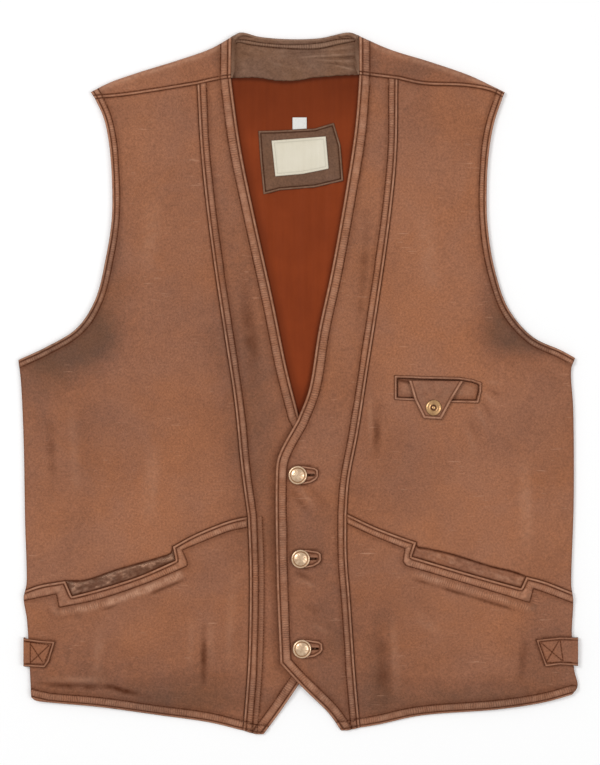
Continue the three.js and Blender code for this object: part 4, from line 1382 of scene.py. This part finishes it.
def lining_top(points):
    """The lining: folds and gathers in the neck opening, flat under the fronts, with painted shade under
    the fronts, below the facing and beside the right front's neck edge.
    """
    from_right = past_neck(right, points)
    shown = smooth(np.minimum(from_right, -past_neck(left, points)) / 6 + 0.1)
    from_facing = to_line(curve(FACING_LOW), points)
    gathers = uneven(points * (1, 0.12), 3.4, 40) * 0.5 * fade(from_facing, 0, 26)
    shape = fold_height(points, LINING_FOLDS) + 0.25 * uneven(points, 15, 41) + 0.15 * uneven(points, 6, 42)
    # Painted shade just below the facing; the lining is also darker towards the facing
    dark = 0.7 * fade(from_facing, 0, 5) + 0.45 * fade(from_facing, 0, 90)
    # Painted shade under the fronts and beside the right front's neck edge
    edge = np.maximum(0.6 * np.minimum(1, 1.15 - shown), 0.55 * fade(from_right, 0, 13))
    return LINING_Z + LINING + shown * (shape + gathers), {"dark": np.maximum(dark, edge)}


facing_edge = curve(FACING_LOW, EDGE_STEP)
facing_edge[2:-2, 1] += 0.55 * uneven_along(facing_edge[2:-2, 0], 3.1, 9)
lining_cut = loop(facing_edge, spaced(LINING_SIDE, 6),
                  spaced(np.array(LINING_SIDE)[::-1] * (-1, 1), 6))
lining_outline = inset(lining_cut, SEAM)
made = cloth(lining_outline, lining_top, plain_height(LINING_Z), rows=PLAIN_ROWS, grid=3.4)
add_cut("lining_satin", "back_lining", made, lining_outline, rust_satin)

facing_cut = loop(curve(BACK_NECK, EDGE_STEP), facing_edge[::-1])
# Rows of stitching of the facing, and its piping round the two corners of the collar
FACING_NEAR = curve([(-66, 362), (-55.7, 361.9), (-41, 359.4), (-9.5, 357.1), (24.2, 359.2), (41, 362.6),
                     (59.5, 363.5)], 2.0)
FACING_FAR = curve([(-67, 357), (-64, 359.4), (-51.5, 357.2), (-30.5, 354.6), (1, 352.5), (22, 353),
                    (43, 357.7), (60.5, 361)], 2.0)
COLLAR_PIPING = [
    curve([(-70.8, 322), (-70.8, 352), (-69, 360.8), (-64, 366.6), (-58, 369), (-50, 367.6)], 2.0),
    curve([(63.5, 325), (63.5, 350), (61.8, 360.5), (57.5, 366.3), (51.5, 368.7), (44, 367.4)], 2.0)]
FACING_MIDDLE = -3.5
FACING_HALF = 66
FACING_EDGE_LIFT = 2.0
FACING_CREASES = [
    (70, 352, -30, 347, 1.6, -0.5), (70, 348, -10, 343, 1.8, 0.7), (74, 344, 6, 343, 1.5, -0.6),
    (72, 339, 14, 341, 1.6, 0.6), (72, 333, 24, 339, 1.5, -0.6), (70, 328, 30, 337, 1.8, 0.7),
    (72, 345, 44, 343, 2.6, -1.0), (66, 357, 28, 350, 2.0, 0.6), (-76, 352, -40, 344, 3, -0.5),
    (-30, 338, 10, 330, 2.5, 0.4), (-78, 336, -58, 330, 3, -0.4),
]


def facing_top(points):
    """The neck facing: two rows of stitching with a band between them, piping and creases, with painted
    shade and highlight.
    """
    near, near_along = measure(FACING_NEAR, points)
    far = to_line(FACING_FAR, points)
    neck = to_line(curve(BACK_NECK, 2.8), points)
    below = to_line(facing_edge[::2], points)
    piping = np.min([to_line(line, points) for line in COLLAR_PIPING], axis=0)
    between = inside(np.vstack([FACING_NEAR, FACING_FAR[::-1]]), points) * 1.0
    from_seam = to_edge(facing_cut[::3], points)
    crumple = 0.2 * uneven(points, 12, 50) + 0.16 * uneven(points * (1, 1.9), 5, 51)
    crumple = (crumple + fold_height(points, FACING_CREASES)) * smooth(from_seam / 5) * (1 - between)
    # Painted shade toward the facing's sides
    shade = 0.6 * (1 - smooth((FACING_HALF - np.abs(points[:, 0] - FACING_MIDDLE)) / 12))
    from_side = np.min([np.abs(points[:, 0] - end) for end in NECK_ENDS], axis=0)
    shade *= 1 - bell(from_side, 2.0)
    ridge = np.maximum(bell(piping, 1.3), bell(neck - 1.3, 0.9))
    height = crumple + 0.5 * ridge + 0.45 * between - 0.5 * (bell(near, NEAR_HALF) + bell(far, 0.8))
    height += FACING_EDGE_LIFT * fade(from_side, 0, 3.2)
    height -= 1.1 * (1 - round_over(neck, 2)) + 0.5 * fade(below, 0, 2)
    # Dark lines of the rows, and painted shade toward the sides, in the creases' troughs, inside the piping
    # and along the lower edge
    dark = np.max([bell(near, NEAR_HALF), bell(far, FAR_HALF), shade,
                   0.6 * np.clip(-crumple / 0.8 - 0.15, 0, 1), 0.8 * bell(piping - 2.6, 0.8),
                   0.85 * fade(below, 0, 1.6)], axis=0) * (1 - ridge)
    # Painted highlight on the piping, on the ridge at the neck, on the creases' crests and on the band
    # between the rows
    rub = np.max([ridge, 0.8 * np.clip(crumple / 0.7, 0, 1), 0.6 * between], axis=0)
    return (LINING_Z + FACING + height,
            {"dark": dark, "rub": rub, "ribbed": between, "along": near_along * MM})


facing_outline = inset(facing_cut, SEAM)
made = cloth(facing_outline, facing_top, plain_height(LINING_Z), rows=(0.45, 1.1, 1.9, 2.6, 3.4), grid=1.15)
add_cut("neck_facing_leather", "back_neck_facing", made, facing_outline, taupe_leather,
        age=0.35)


def rounded_loop(rows, step=EDGE_STEP):
    return evened(loop(np.array(rows, float)), step)


patch_cut = rounded_loop(PATCH)
patch_bands = [("patch_edge", closed(patch_cut))]


def patch_top(points):
    """The patch, with its sewn edge and soft lumps."""
    shape, marks = relief(points, patch_bands)
    return ON_LINING_Z + TRIM + shape + 0.2 * uneven(points, 14, 60) + 0.1 * uneven(points, 5, 61), marks


patch_outline = inset(patch_cut, SEAM)
made = cloth(patch_outline, patch_top, plain_height(ON_LINING_Z),
             rows=(0.4, 0.9, 1.5, 2.1, 2.6, 3.1, 3.8, 5), grid=2.2)
add_cut("label_patch_leather", "label_patch", made, patch_outline, taupe_leather,
        age=0.55)

label_cut = rounded_loop(WOVEN_LABEL)
LABEL_Z = ON_LINING_Z + TRIM + GAP


def label_top(points):
    """The woven label, its folded hem a little raised."""
    edge = to_edge(label_cut, points)
    hem = 0.22 * fade(edge, 2.4, 0.8) - 0.5 * fade(edge, 0, 0.8)
    # Painted shade along the label's edge, where it dips
    dark = 0.35 * bell(edge - 2.8, 0.5) + 0.4 * fade(edge, 0, 0.7)
    lumps = 0.18 * uneven(points, 11, 62) + 0.1 * uneven(points, 5, 63)
    return LABEL_Z + LABEL + hem + lumps * smooth(edge / 3), {"dark": dark}


label_outline = inset(label_cut, SEAM)
made = cloth(label_outline, label_top, plain_height(LABEL_Z + 0.35), rows=(0.4, 0.9, 1.6, 2.4, 2.9, 3.4),
             grid=2.0)
add_cut("woven_label_cloth", "woven_label", made, label_outline, label_cloth)

tag_cut = rounded_loop(SIZE_TAG, 0.9)
TAG_CURL = 0.7
TAG_LOW_END = 268
TAG_LONG = 14


def tag_curl(points):
    return TAG_CURL * smooth((points[:, 1] - TAG_LOW_END) / TAG_LONG)


def tag_top(points):
    edge = fade(to_edge(tag_cut, points), 0, 0.6)
    # Painted shade along the tag's edge, where it dips
    return ON_LINING_Z + LABEL + tag_curl(points) - 0.35 * edge, {"dark": 0.3 * edge}


def tag_under(points):
    return ON_LINING_Z + tag_curl(points), {}


tag_outline = inset(tag_cut, SEAM)
made = cloth(tag_outline, tag_top, tag_under, rows=(0.3, 0.8), grid=1.6)
add_cut("size_tag_tape", "size_tag", made, tag_outline, tag_tape)


# Padded welts in the stepped pocket mouths

# How high a welt is padded, how far in from its edge, and how deep it sits
WELT_PAD = 1.9
WELT_PAD_REACH = 6.5
WELT_SEAT = 0.5
WELT_WRINKLED = {"right": 1.0, "left": 0.45}
WELT_AGE = {"right": 0.9, "left": 0.4}
WELT_LEATHER = {"right": welt_leather, "left": brown_leather}
# Turns of the plane that bring each welt's length to lie along X
WELT_TURN = {"right": [(0.943, -0.333), (0.333, 0.943)], "left": [(0.954, 0.3), (-0.3, 0.954)]}


def welt_top(side_name, cut, surface, seed):
    """A padded welt with wrinkles across its length."""
    ring = closed(cut)
    wrinkled = WELT_WRINKLED[side_name]

    def top(points):
        edge = to_line(ring, points)
        pad = WELT_PAD * round_over(edge, WELT_PAD_REACH)
        run = points @ np.array(WELT_TURN[side_name])
        gathers = 0.4 * uneven(run * (0.35, 1), 2.6, seed) + 0.3 * uneven(run * (0.6, 1), 1.5, seed + 1)
        gathers = wrinkled * (gathers + 0.2 * uneven(points, 6, seed + 2))
        shape = pad - WELT_SEAT + gathers * smooth(edge / 3)
        # Painted highlight on the crests of the wrinkles
        rub = np.clip(0.1 + 2.0 * gathers, 0, 1) * smooth((edge - 1) / 2.5)
        # Painted shade round the welt's edge, under the panels, and in the troughs of its wrinkles
        dark = 0.9 * fade(edge, 0.3, 2.2) + 0.6 * wrinkled * smooth(-gathers / 0.3)
        return surface(points) + FRONT + shape, {"rub": rub, "dark": np.clip(dark, 0, 1)}
    return top


for number, (side_name, _, cut, surface) in enumerate(sides):
    outline = inset(cut["welt"], SEAM)
    top = welt_top(side_name, cut["welt"], surface, 70 + 5 * number)
    made = cloth(outline, top, lifted(surface), rows=(0.4, 0.9, 1.5, 2.2, 3, 3.9, 4.9), grid=1.05)
    name = side_name + "_pocket_welt"
    add_cut(name + "_leather", name, made, outline, WELT_LEATHER[side_name],
            age=WELT_AGE[side_name])


# Side tabs, which bend down round the side seams

# Radius of a tab's bend, the height of its end over the surface below, and the length of the bend
TAB_BEND = 2.6
TAB_FOOT = 0.4
TAB_TURN = math.pi / 2 * TAB_BEND
TAB_BOX = {
    "right": [[(-285.5, -269.8), (-261.5, -272.6)], [(-258.8, -271.4), (-265.7, -290.1)],
              [(-285.5, -292.7), (-266.2, -292.7)], [(-281.4, -271), (-281.4, -292.2)],
              [(-280.4, -273), (-268.4, -290.5)], [(-262, -273.6), (-280.6, -291)]],
    "left": [[(253.1, -268.9), (273, -267), (286.5, -267.5)], [(251.6, -270), (259.3, -291)],
             [(259.3, -291.2), (274, -290.8), (286.5, -291.3)], [(274, -268), (277.2, -290)],
             [(254, -270.5), (276, -289)], [(272.5, -268.6), (260, -289.6)]],
}


def tab_sheet(side_name, surface):
    """The flat tab, its end past the side seam bent down to the table."""
    sign = -1 if side_name == "right" else 1
    flat = np.array(TABS[side_name], float)
    bend_from = abs(flat[0, 0]) - TAB_BEND
    middle = np.array([[sign * (bend_from - 4), (flat[0, 1] + flat[-1, 1]) / 2]])
    fall = surface(middle)[0] + FRONT + GAP + TAB - TAB_FOOT
    far = bend_from + TAB_TURN + fall - TAB_BEND
    flat[np.abs(flat[:, 0]) > bend_from - 6, 0] = sign * far
    cut = rounded_loop(flat, 1.1)
    bands = [("tab_edge", closed(cut))]

    def bent(points, lift, shape):
        """Points of the flat tab at a height over its underside, carried round the bend."""
        over = sign * points[:, 0] - bend_from
        radius = TAB_BEND - TAB + lift
        angle = np.clip(over / TAB_BEND, 0, math.pi / 2)
        down = np.maximum(over - TAB_TURN, 0)
        inner = points.copy()
        inner[:, 0] = sign * np.minimum(sign * points[:, 0], bend_from)
        base = surface(inner) + FRONT + GAP + shape
        x = np.where(over > 0, sign * (bend_from + radius * np.sin(angle)), points[:, 0])
        z = base + lift - np.where(over > 0, radius * (1 - np.cos(angle)) + down, 0)
        return np.c_[x, points[:, 1], z]

    def marked(points):
        shape, marks = relief(points, bands)
        beside = np.min([to_line(spaced(path, 2), points) for path in TAB_BOX[side_name]], axis=0)
        edge = to_edge(cut, points)
        # Dark lines of the box of stitching with painted shade in their grooves, and painted shade along
        # the tab's edge
        deepen(marks, "dark", bell(beside, 0.6), 0.9 * fade(edge, 0.2, 0.7))
        # Painted highlight on the rim inside the edge
        deepen(marks, "rub", 0.8 * bell(edge - 1.5, 0.8))
        folds = 0.2 * uneven(points * (0.5, 1), 4, 81) * smooth((sign * points[:, 0] - 276) / 6)
        return shape + 0.12 * uneven(points, 7, 80) - 0.4 * bell(beside, NEAR_HALF) + folds, marks

    outline = inset(cut, SEAM)
    vertices, faces, marks = cloth(outline, marked, plain_height(0), rows=(0.5, 1.1, 1.9, 2.6, 3.2, 4.2),
                                   grid=0.95)
    wall = next(face for face in faces if len(face) == 4)
    upper, lower = np.split(vertices, [wall[1] - wall[0]])
    raised = bent(upper[:, :2], TAB, 0)
    raised[:, 2] += upper[:, 2]

    def top(points):
        shape, top_marks = marked(points)
        return surface(points) + FRONT + GAP + TAB + shape, top_marks
    return (np.vstack([raised, bent(lower[:, :2], 0, 0)]), faces, marks), outline, top


tab_tops = {}
for side_name, _, _, surface in sides:
    made, outline, tab_tops[side_name] = tab_sheet(side_name, surface)
    name = side_name + "_side_tab"
    add_cut(name + "_leather", name, made, outline, brown_leather,
            age=0.3)


# Chest pocket

RIM_TOP = GAP + TRIM
FLAP_Z = RIM_TOP + GAP
WINDOW_DROP = 0.9
WINDOW_WEDGE = np.array([(104.5, 5.6), (109, 3.8), (116, 2.6)])


def chest_surface(points):
    """The plain top of the left front, under the chest pocket's trim."""
    return left_underside(points) + FRONT


def window_top(points):
    """Leather inside the chest pocket's window, with painted shade round its edge, a painted shadow of the
    pocket's opening in its upper corner, and a painted highlight on its raised middle.
    """
    edge = to_edge(chest_window, points)
    crease = 0.3 * uneven(points, 9, 90) + 0.15 * uneven(points, 3.5, 91)
    wedge = 0.95 * bell(to_line(WINDOW_WEDGE, points), 1.7)
    height = chest_surface(points) - WINDOW_DROP + crease * smooth(edge / 2) + 0.5 * smooth((edge - 1) / 5)
    dark = np.maximum(0.65 * fade(edge, 0.2, 1.6), wedge)
    return height, {"dark": dark, "rub": 0.25 * smooth((edge - 3) / 3)}


window_outline = inset(chest_window, GAP)
made = cloth(window_outline, window_top, lifted(left_underside, 0.1), rows=(0.5, 1.2, 2.2), grid=1.7)
add_cut("chest_pocket_welt_leather", "chest_pocket_welt", made, window_outline,
        brown_leather, age=0.35)


def rim_top(points):
    """The frame of the window, piped along its outer and inner edge, with painted shade along both edges
    and painted highlight over its top.
    """
    outer = to_edge(chest_rim, points)
    inner = to_edge(chest_window, points)
    edge = np.minimum(outer, inner)
    piping = 0.75 * round_over(edge, 1.6) - 0.75
    ripple = 0.1 * uneven(points, 3.2, 92)
    return (chest_surface(points) + RIM_TOP + 0.25 + piping + ripple,
            {"dark": 0.95 * fade(edge, 0.1, 0.75), "rub": smooth((edge - 0.8) / 0.6)})


made = cloth(chest_rim, rim_top, lifted(chest_surface, GAP), rows=(0.35, 0.8, 1.3), grid=1.5,
             holes=[chest_window[::-1]])
made[2]["age"] = np.full(len(made[0]), 0.45)
piece = add_piece("chest_pocket_frame_leather", made, brown_leather, ["chest_pocket_frame"])

flap_cut = rounded_loop(CHEST_FLAP, 1.1)
flap_free = spaced(np.array(CHEST_FLAP, float)[[1, 2, 3, 4, 5, 0]], 1.5)


def flap_top(points):
    """The flap, piped along its free edges and sewn down at its top."""
    edge = to_line(flap_free, points)
    from_cut = to_edge(flap_cut, points)
    piping = 0.55 * bell(edge - 1.7, 1.2) - 0.35 * bell(edge - 3.4, 0.6)
    rounding = 0.7 * (1 - round_over(from_cut, 1.4))
    sag = 0.7 * smooth(points[:, 1] / 5)
    puff = 0.35 * smooth((edge - 3.5) / 6)
    # Dark line in the groove of its stitching with painted shade there and round its edge, and painted
    # highlight on the piping
    return (chest_surface(points) + FLAP_Z + FLAP + piping - rounding - sag + puff,
            {"dark": np.maximum(0.85 * bell(edge - 3.3, 0.65), 0.8 * fade(from_cut, 0, 0.8)),
             "rub": np.clip(bell(edge - 1.7, 0.9) + 0.2, 0, 1)})


made = cloth(flap_cut, flap_top, lifted(chest_surface, FLAP_Z - 0.2),
             rows=(0.4, 0.9, 1.6, 2.3, 3.0, 3.6, 4.4), grid=1.8)
add_cut("chest_pocket_flap_leather", "chest_pocket_flap", made, flap_cut,
        brown_leather, age=0.4)


# Bound buttonholes

BINDING_SLOT = [(-1.4, -2), (4, -2), (6.5, -0.8), (17.2, -0.7), (17.2, 0.7), (6.5, 0.8), (4, 2), (-1.4, 2)]
for number, button in enumerate(BUTTONS, 1):
    binding_cut = rounded_loop(np.array(BUTTONHOLE) + button, 0.9)
    slot = evened(np.array(BINDING_SLOT) + button, 0.7)

    def binding_top(points, ring=closed(binding_cut), slot_ring=closed(slot), middle=button):
        outer = to_line(ring, points)
        inner = to_line(slot_ring, points)
        clear_of_head = smooth((np.hypot(*(points - middle).T) - 8.5) / 2)
        cord = 0.6 * bell(outer - 1.4, 0.9) - 0.5 * bell(outer - 3.0, 0.6)
        lips = 0.5 * bell(inner - 1.4, 1.0)
        edge = 0.7 * fade(np.minimum(outer, inner), 0, 0.9)
        height = left_underside(points) + FRONT + GAP + TRIM + (cord + lips) * clear_of_head - edge
        # Painted shade into the slot, in the groove between the cord and the lips, and along the outer edge
        dark = np.max([fade(inner, 0.1, 1.2), bell(outer - 3.0, 0.75), fade(outer, 0.1, 0.8)], axis=0)
        # Painted highlight on the cord and the lips
        rub = np.clip(bell(outer - 1.4, 0.9) + 0.4 * bell(inner - 1.5, 0.8), 0, 1)
        return height, {"dark": dark, "rub": rub}

    made = cloth(binding_cut, binding_top, lifted(left_underside, FRONT + GAP),
                 rows=(0.4, 0.9, 1.5, 2.2, 2.9, 3.5), grid=0.9, holes=[slot[::-1]])
    made[2]["age"] = np.full(len(made[0]), 0.35)
    node_name = "buttonhole_" + str(number)
    piece = add_piece(node_name + "_leather", made, brown_leather, [node_name])
    flat_size(binding_cut)[0]


# Turned brass: shank buttons and the ring snap

HARDWARE_GAP = 0.4
HARDWARE_SIDES = 72
SHANK = 1.4
# Each turned piece from its foot up and inward: radius and height
SNAP_PROFILE = [(8.4, 0), (8.4, 0.4), (8.1, 0.8), (7.5, 1.25), (6.6, 1.6), (5.6, 1.72), (4.5, 1.65),
                (3.8, 1.45), (3.2, 1.0), (2.9, 0.5), (2.2, 0.45), (1.85, 0.6), (1.75, 1.1), (1.4, 1.4),
                (0.5, 1.5)]
HEAD_PROFILE = [(8.9, 0), (9.5, 0.35), (9.7, 0.9), (9.7, 1.4), (9.4, 1.85), (8.9, 2.2), (8.3, 2.3),
                (7.9, 2.1), (7.5, 1.95), (7.1, 2.1), (6.7, 2.45), (5.9, 2.75), (4.8, 3.05), (3.6, 3.3),
                (2.4, 3.45), (1.2, 3.55), (0.4, 3.6)]


def turned(name, profile, x, y, z):
    """A turned piece, pulled up ring by ring from a disc."""
    bpy.ops.object.select_all(action="DESELECT")
    place = ((x + SHIFT[0]) * MM, (y + SHIFT[1]) * MM, (z + profile[0][1]) * MM)
    bpy.ops.mesh.primitive_circle_add(vertices=HARDWARE_SIDES, radius=profile[0][0] * MM, fill_type="NGON",
                                      location=place)
    piece = bpy.context.object
    piece.name = name
    piece.data.name = name
    bpy.ops.object.mode_set(mode="EDIT")
    bpy.ops.mesh.select_all(action="SELECT")
    bpy.ops.mesh.extrude_region_move(TRANSFORM_OT_translate={"value": (0, 0, 0)})
    for (radius, height), (wider, lower) in zip(profile[1:], profile):
        bpy.ops.transform.translate(value=(0, 0, (height - lower) * MM))
        share = radius / wider
        bpy.ops.transform.resize(value=(share, share, 1))
        if (radius, height) != profile[-1]:
            bpy.ops.mesh.extrude_region_move(TRANSFORM_OT_translate={"value": (0, 0, 0)})
    bpy.ops.mesh.select_all(action="SELECT")
    bpy.ops.mesh.normals_make_consistent(inside=False)
    bpy.ops.object.mode_set(mode="OBJECT")
    bpy.ops.object.transform_apply(location=True, rotation=True, scale=True)
    bpy.ops.object.shade_smooth()
    piece.select_set(False)
    return piece


# The wreath of a button: its leaves, the radius of their ring and its half width, and their height
LEAVES = 8
LEAF_RING = (4.6, 1.5)
LEAF_HIGH = 0.14
LEAF_SHADE = 0.22
RING_DIP = 0.05
BOSS_HIGH = 0.1
BOSS_HALF = 1.5
# Radii of the dome and of the groove round it, the height over which they begin, and the rim's own height
DOME = 7.0
GROOVE = 8.1
GROOVE_SHADE = 1.0
DOME_LOW = 1.5
RIM_HIGH = 1.0
# Painted shade on the rim's low flank, under the head
RIM_SHADE = 0.8
SNAP_HOLLOW = (1.8, 3.1)
# Painted shade on the snap's outer rim
SNAP_RIM = 7.7
SNAP_RIM_SHADE = 0.45


def finish_brass(piece, node_name, material, shades):
    """Turned brass with the darkness of its hollows, which rides on the vest."""
    marks = piece.data.attributes.new("dark", "FLOAT", "POINT")
    marks.data.foreach_set("value", shades)
    piece.data.materials.append(material)
    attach(piece, "root")
    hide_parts(node_name)


def from_axis(vertex, x, y):
    return vertex.co.x / MM - SHIFT[0] - x, vertex.co.y / MM - SHIFT[1] - y


def chase(piece, x, y, z):
    """A plain wreath of small leaves raised on a button's dome; gives the darkness of its hollows."""
    shades = []
    for vertex in piece.data.vertices:
        px, py = from_axis(vertex, x, y)
        radius, angle = math.hypot(px, py), math.atan2(py, px)
        height = vertex.co.z / MM - z
        shade = 0.0
        if height > DOME_LOW and radius < DOME:
            leaf = math.cos(LEAVES * angle / 2) ** 2
            ring = math.exp(-((radius - LEAF_RING[0]) / LEAF_RING[1]) ** 2)
            boss = math.exp(-(radius / BOSS_HALF) ** 2)
            vertex.co.z += (LEAF_HIGH * leaf * ring + BOSS_HIGH * boss - RING_DIP * ring) * MM
            shade = LEAF_SHADE * (1 - leaf) * ring
        elif height > DOME_LOW and radius < GROOVE:
            shade = GROOVE_SHADE
        elif height < RIM_HIGH:
            shade = RIM_SHADE
        shades.append(shade)
    return shades


for number, (x, y) in enumerate(BUTTONS, 1):
    at = np.array([(x, y)], float)
    shank_low = underside(at)[0] + FRONT + HARDWARE_GAP
    head_z = left_underside(at)[0] + FRONT + GAP + TRIM + HARDWARE_GAP
    profile = [(SHANK, shank_low - head_z), (SHANK, -0.05)] + HEAD_PROFILE
    piece = turned("button_%d_brass" % number, profile, x, y, head_z)
    finish_brass(piece, "button_%d" % number, brass, chase(piece, x, y, head_z))

snap_z = chest_surface(np.array([CHEST_SNAP], float))[0] + FLAP_Z + FLAP + HARDWARE_GAP
snap = turned("chest_pocket_snap_brass", SNAP_PROFILE, *CHEST_SNAP, snap_z)
snap_shades = []
for vertex in snap.data.vertices:
    radius = math.hypot(*from_axis(vertex, *CHEST_SNAP))
    in_hollow = SNAP_HOLLOW[0] < radius < SNAP_HOLLOW[1]
    snap_shades.append(GROOVE_SHADE if in_hollow else SNAP_RIM_SHADE if radius > SNAP_RIM else 0.0)
finish_brass(snap, "chest_pocket_snap", snap_brass, snap_shades)
print("trim and hardware made")


# Stitching

# A stitch: from the start of one to the next, its length, its half thickness and its sides; where it begins
# to draw in, how far it is turned and by what shares it is longer or shorter than others; and how far its
# ends and its middle lie in the leather
PITCH = 3.1
STITCH_LONG = 2.35
STITCH_HALF = 0.34
STITCH_SIDES = 6
STITCH_SHOULDER = 0.62
STITCH_TURN = 0.09
STITCH_LENGTHS = (0.88, 1.06)
STITCH_SEED = 5
STITCH_DIP = 0.6
STITCH_SINK = 0.1
# A row of stitches is parted where its points are further apart, and left out where they are fewer
ROW_BREAK = 9
SHORTEST_ROW = 5
stitches = {}


def row_paths(line, offset, outline):
    """A line moved into its panel by an offset, without the loops that its corners would make."""
    line, (first, second) = shifted(line, 1.0, offset)
    path = first if inside(outline, first).sum() > inside(outline, second).sum() else second
    path = path[(to_line(line, path) > offset - CORNER_SLACK) & inside(outline, path)]
    gaps = np.nonzero(np.hypot(*np.diff(path, axis=0).T) > ROW_BREAK)[0] + 1
    return [part for part in np.split(path, gaps) if len(part) > SHORTEST_ROW]


def sew(group, line, offset, outline, top, hidden=None):
    """A row of stitches at an offset from an edge."""
    for path in row_paths(line, offset, outline):
        sew_path(group, path, top, hidden)


def sew_path(group, path, top, hidden=None):
    """A row of stitches along a path, but for those that another piece hides."""
    points = spaced(path, PITCH)
    middle = (points[1:] + points[:-1]) / 2
    way = points[1:] - points[:-1]
    way /= np.hypot(*way.T)[:, None]
    if hidden is not None:
        shown = ~inside(hidden, middle)
        middle, way = middle[shown], way[shown]
    if not len(middle):
        return
    reach = way * STITCH_LONG / 2
    height = top(middle)[0]
    slope = (top(middle + reach)[0] - top(middle - reach)[0]) / STITCH_LONG
    stitches.setdefault(group, []).append((np.c_[middle, height - STITCH_SINK], np.c_[way, slope]))


def stitch_mesh(rows):
    """Every stitch of a group as one mesh: a short rounded bar, its two ends drawn in to points."""
    centers = np.vstack([row[0] for row in rows])
    ways = np.vstack([row[1] for row in rows])
    ways /= np.linalg.norm(ways, axis=1)[:, None]
    across = np.stack([-ways[:, 1], ways[:, 0], np.zeros(len(ways))], axis=1)
    across /= np.linalg.norm(across, axis=1)[:, None]
    upward = np.cross(ways, across)
    upward[upward[:, 2] < 0] *= -1
    rng = np.random.default_rng(STITCH_SEED)
    turn = rng.uniform(-STITCH_TURN, STITCH_TURN, len(ways))[:, None]
    ways = ways + across * turn
    long = STITCH_LONG / 2 * rng.uniform(*STITCH_LENGTHS, len(ways))[:, None]
    dip = upward * STITCH_HALF * STITCH_DIP
    vertices = [centers - ways * long - dip]
    for share in (-STITCH_SHOULDER, STITCH_SHOULDER):
        for i in range(STITCH_SIDES):
            angle = math.tau * i / STITCH_SIDES
            vertices.append(centers + ways * long * share + across * STITCH_HALF * math.cos(angle)
                            + upward * STITCH_HALF * math.sin(angle))
    vertices.append(centers + ways * long - dip)
    per = len(vertices)
    faces = []
    for i in range(STITCH_SIDES):
        a, b = 1 + i, 1 + (i + 1) % STITCH_SIDES
        c, d = a + STITCH_SIDES, b + STITCH_SIDES
        faces += [(0, b, a), (a, b, d, c), (per - 1, c, d)]
    every = [tuple(np.array(face) + per * k) for k in range(len(centers)) for face in faces]
    return np.stack(vertices, axis=1).reshape(-1, 3), every, {}


for side_name, side, cut, _ in sides:
    hidden = left_cut["center"] if side_name == "right" else None
    front_group = side_name + "_front_stitching"
    for panel, seams in seams_of(side).items():
        for kind, line, *far_row in seams:
            for offset in rows_of(kind)[:1 if far_row else 2]:
                sew(front_group, line, offset, cut[panel], tops[side_name + "_front_" + panel], hidden)
    for run in POCKET_ROWS[side_name]:
        sew_path(front_group, curve(run, 1.0), tops[side_name + "_front_lower"])

    for kind, line in yoke_bands(side):
        for offset in rows_of(kind):
            sew("shoulder_stitching", line, offset, cut["yoke"], yoke_tops[side_name])
    for path in TAB_BOX[side_name]:
        sew_path("tab_stitching", np.array(path, float), tab_tops[side_name])

for row in (FACING_NEAR, FACING_FAR):
    sew_path("neck_stitching", row, facing_top)
sew("patch_stitching", closed(patch_cut), *rows_of("patch_edge"), patch_cut, patch_top)

for group, rows in stitches.items():
    add_piece(group, stitch_mesh(rows), waxed_thread)
print("stitches", {group: sum(len(row[0]) for row in rows) for group, rows in stitches.items()})


# Camera, floor and light

PHOTO_CENTER = (1.4, 2.3)
CAMERA_ABOVE = 1.9
CAMERA_LENS = 85
CAMERA_SENSOR = 36
FLOOR_SIZE = 8
FLOOR_Z = -0.0006
FLOOR_GLOW = 0.06
WORLD_LIGHT = 0.52
# Softboxes: name, place, size in metres and power
SOFTBOXES = [("softbox left", (-1.75, 0.9, 2.4), (1.1, 1.1), 37),
             ("softbox right", (1.9, -0.5, 2.3), (1.1, 1.3), 21)]


def placed_in_scene(name, data):
    thing = bpy.data.objects.new(name, data)
    bpy.context.scene.collection.objects.link(thing)
    return thing


camera_data = bpy.data.cameras.new("camera")
camera_data.lens = CAMERA_LENS
camera_data.sensor_width = CAMERA_SENSOR
camera = placed_in_scene("camera", camera_data)
camera.location = ((PHOTO_CENTER[0] + SHIFT[0]) * MM, (PHOTO_CENTER[1] + SHIFT[1]) * MM, CAMERA_ABOVE)
bpy.context.scene.camera = camera

bpy.ops.object.select_all(action="DESELECT")
bpy.ops.mesh.primitive_plane_add(size=FLOOR_SIZE, location=(0, 0, FLOOR_Z))
floor = bpy.context.object
floor.name = "floor"
floor_material, _, floor_inputs = new_material("pale floor")
for label, value in (("Base Color", (0.98, 0.98, 0.98, 1)), ("Roughness", 0.9),
                     ("Emission Color", (1, 1, 1, 1)), ("Emission Strength", FLOOR_GLOW)):
    floor_inputs[label].default_value = value
floor.data.materials.append(floor_material)

world = bpy.data.worlds.new("studio")
bpy.context.scene.world = world
world.use_nodes = True
world.node_tree.nodes["Background"].inputs["Color"].default_value = (1, 1, 1, 1)
world.node_tree.nodes["Background"].inputs["Strength"].default_value = WORLD_LIGHT

for name, place, size, power in SOFTBOXES:
    data = bpy.data.lights.new(name, "AREA")
    data.shape = "RECTANGLE"
    data.size, data.size_y = size
    data.energy = power
    lamp = placed_in_scene(name, data)
    lamp.location = place
    lamp.rotation_euler = (-Vector(place)).to_track_quat("-Z", "Y").to_euler()
bpy.context.scene.view_settings.view_transform = "Standard"
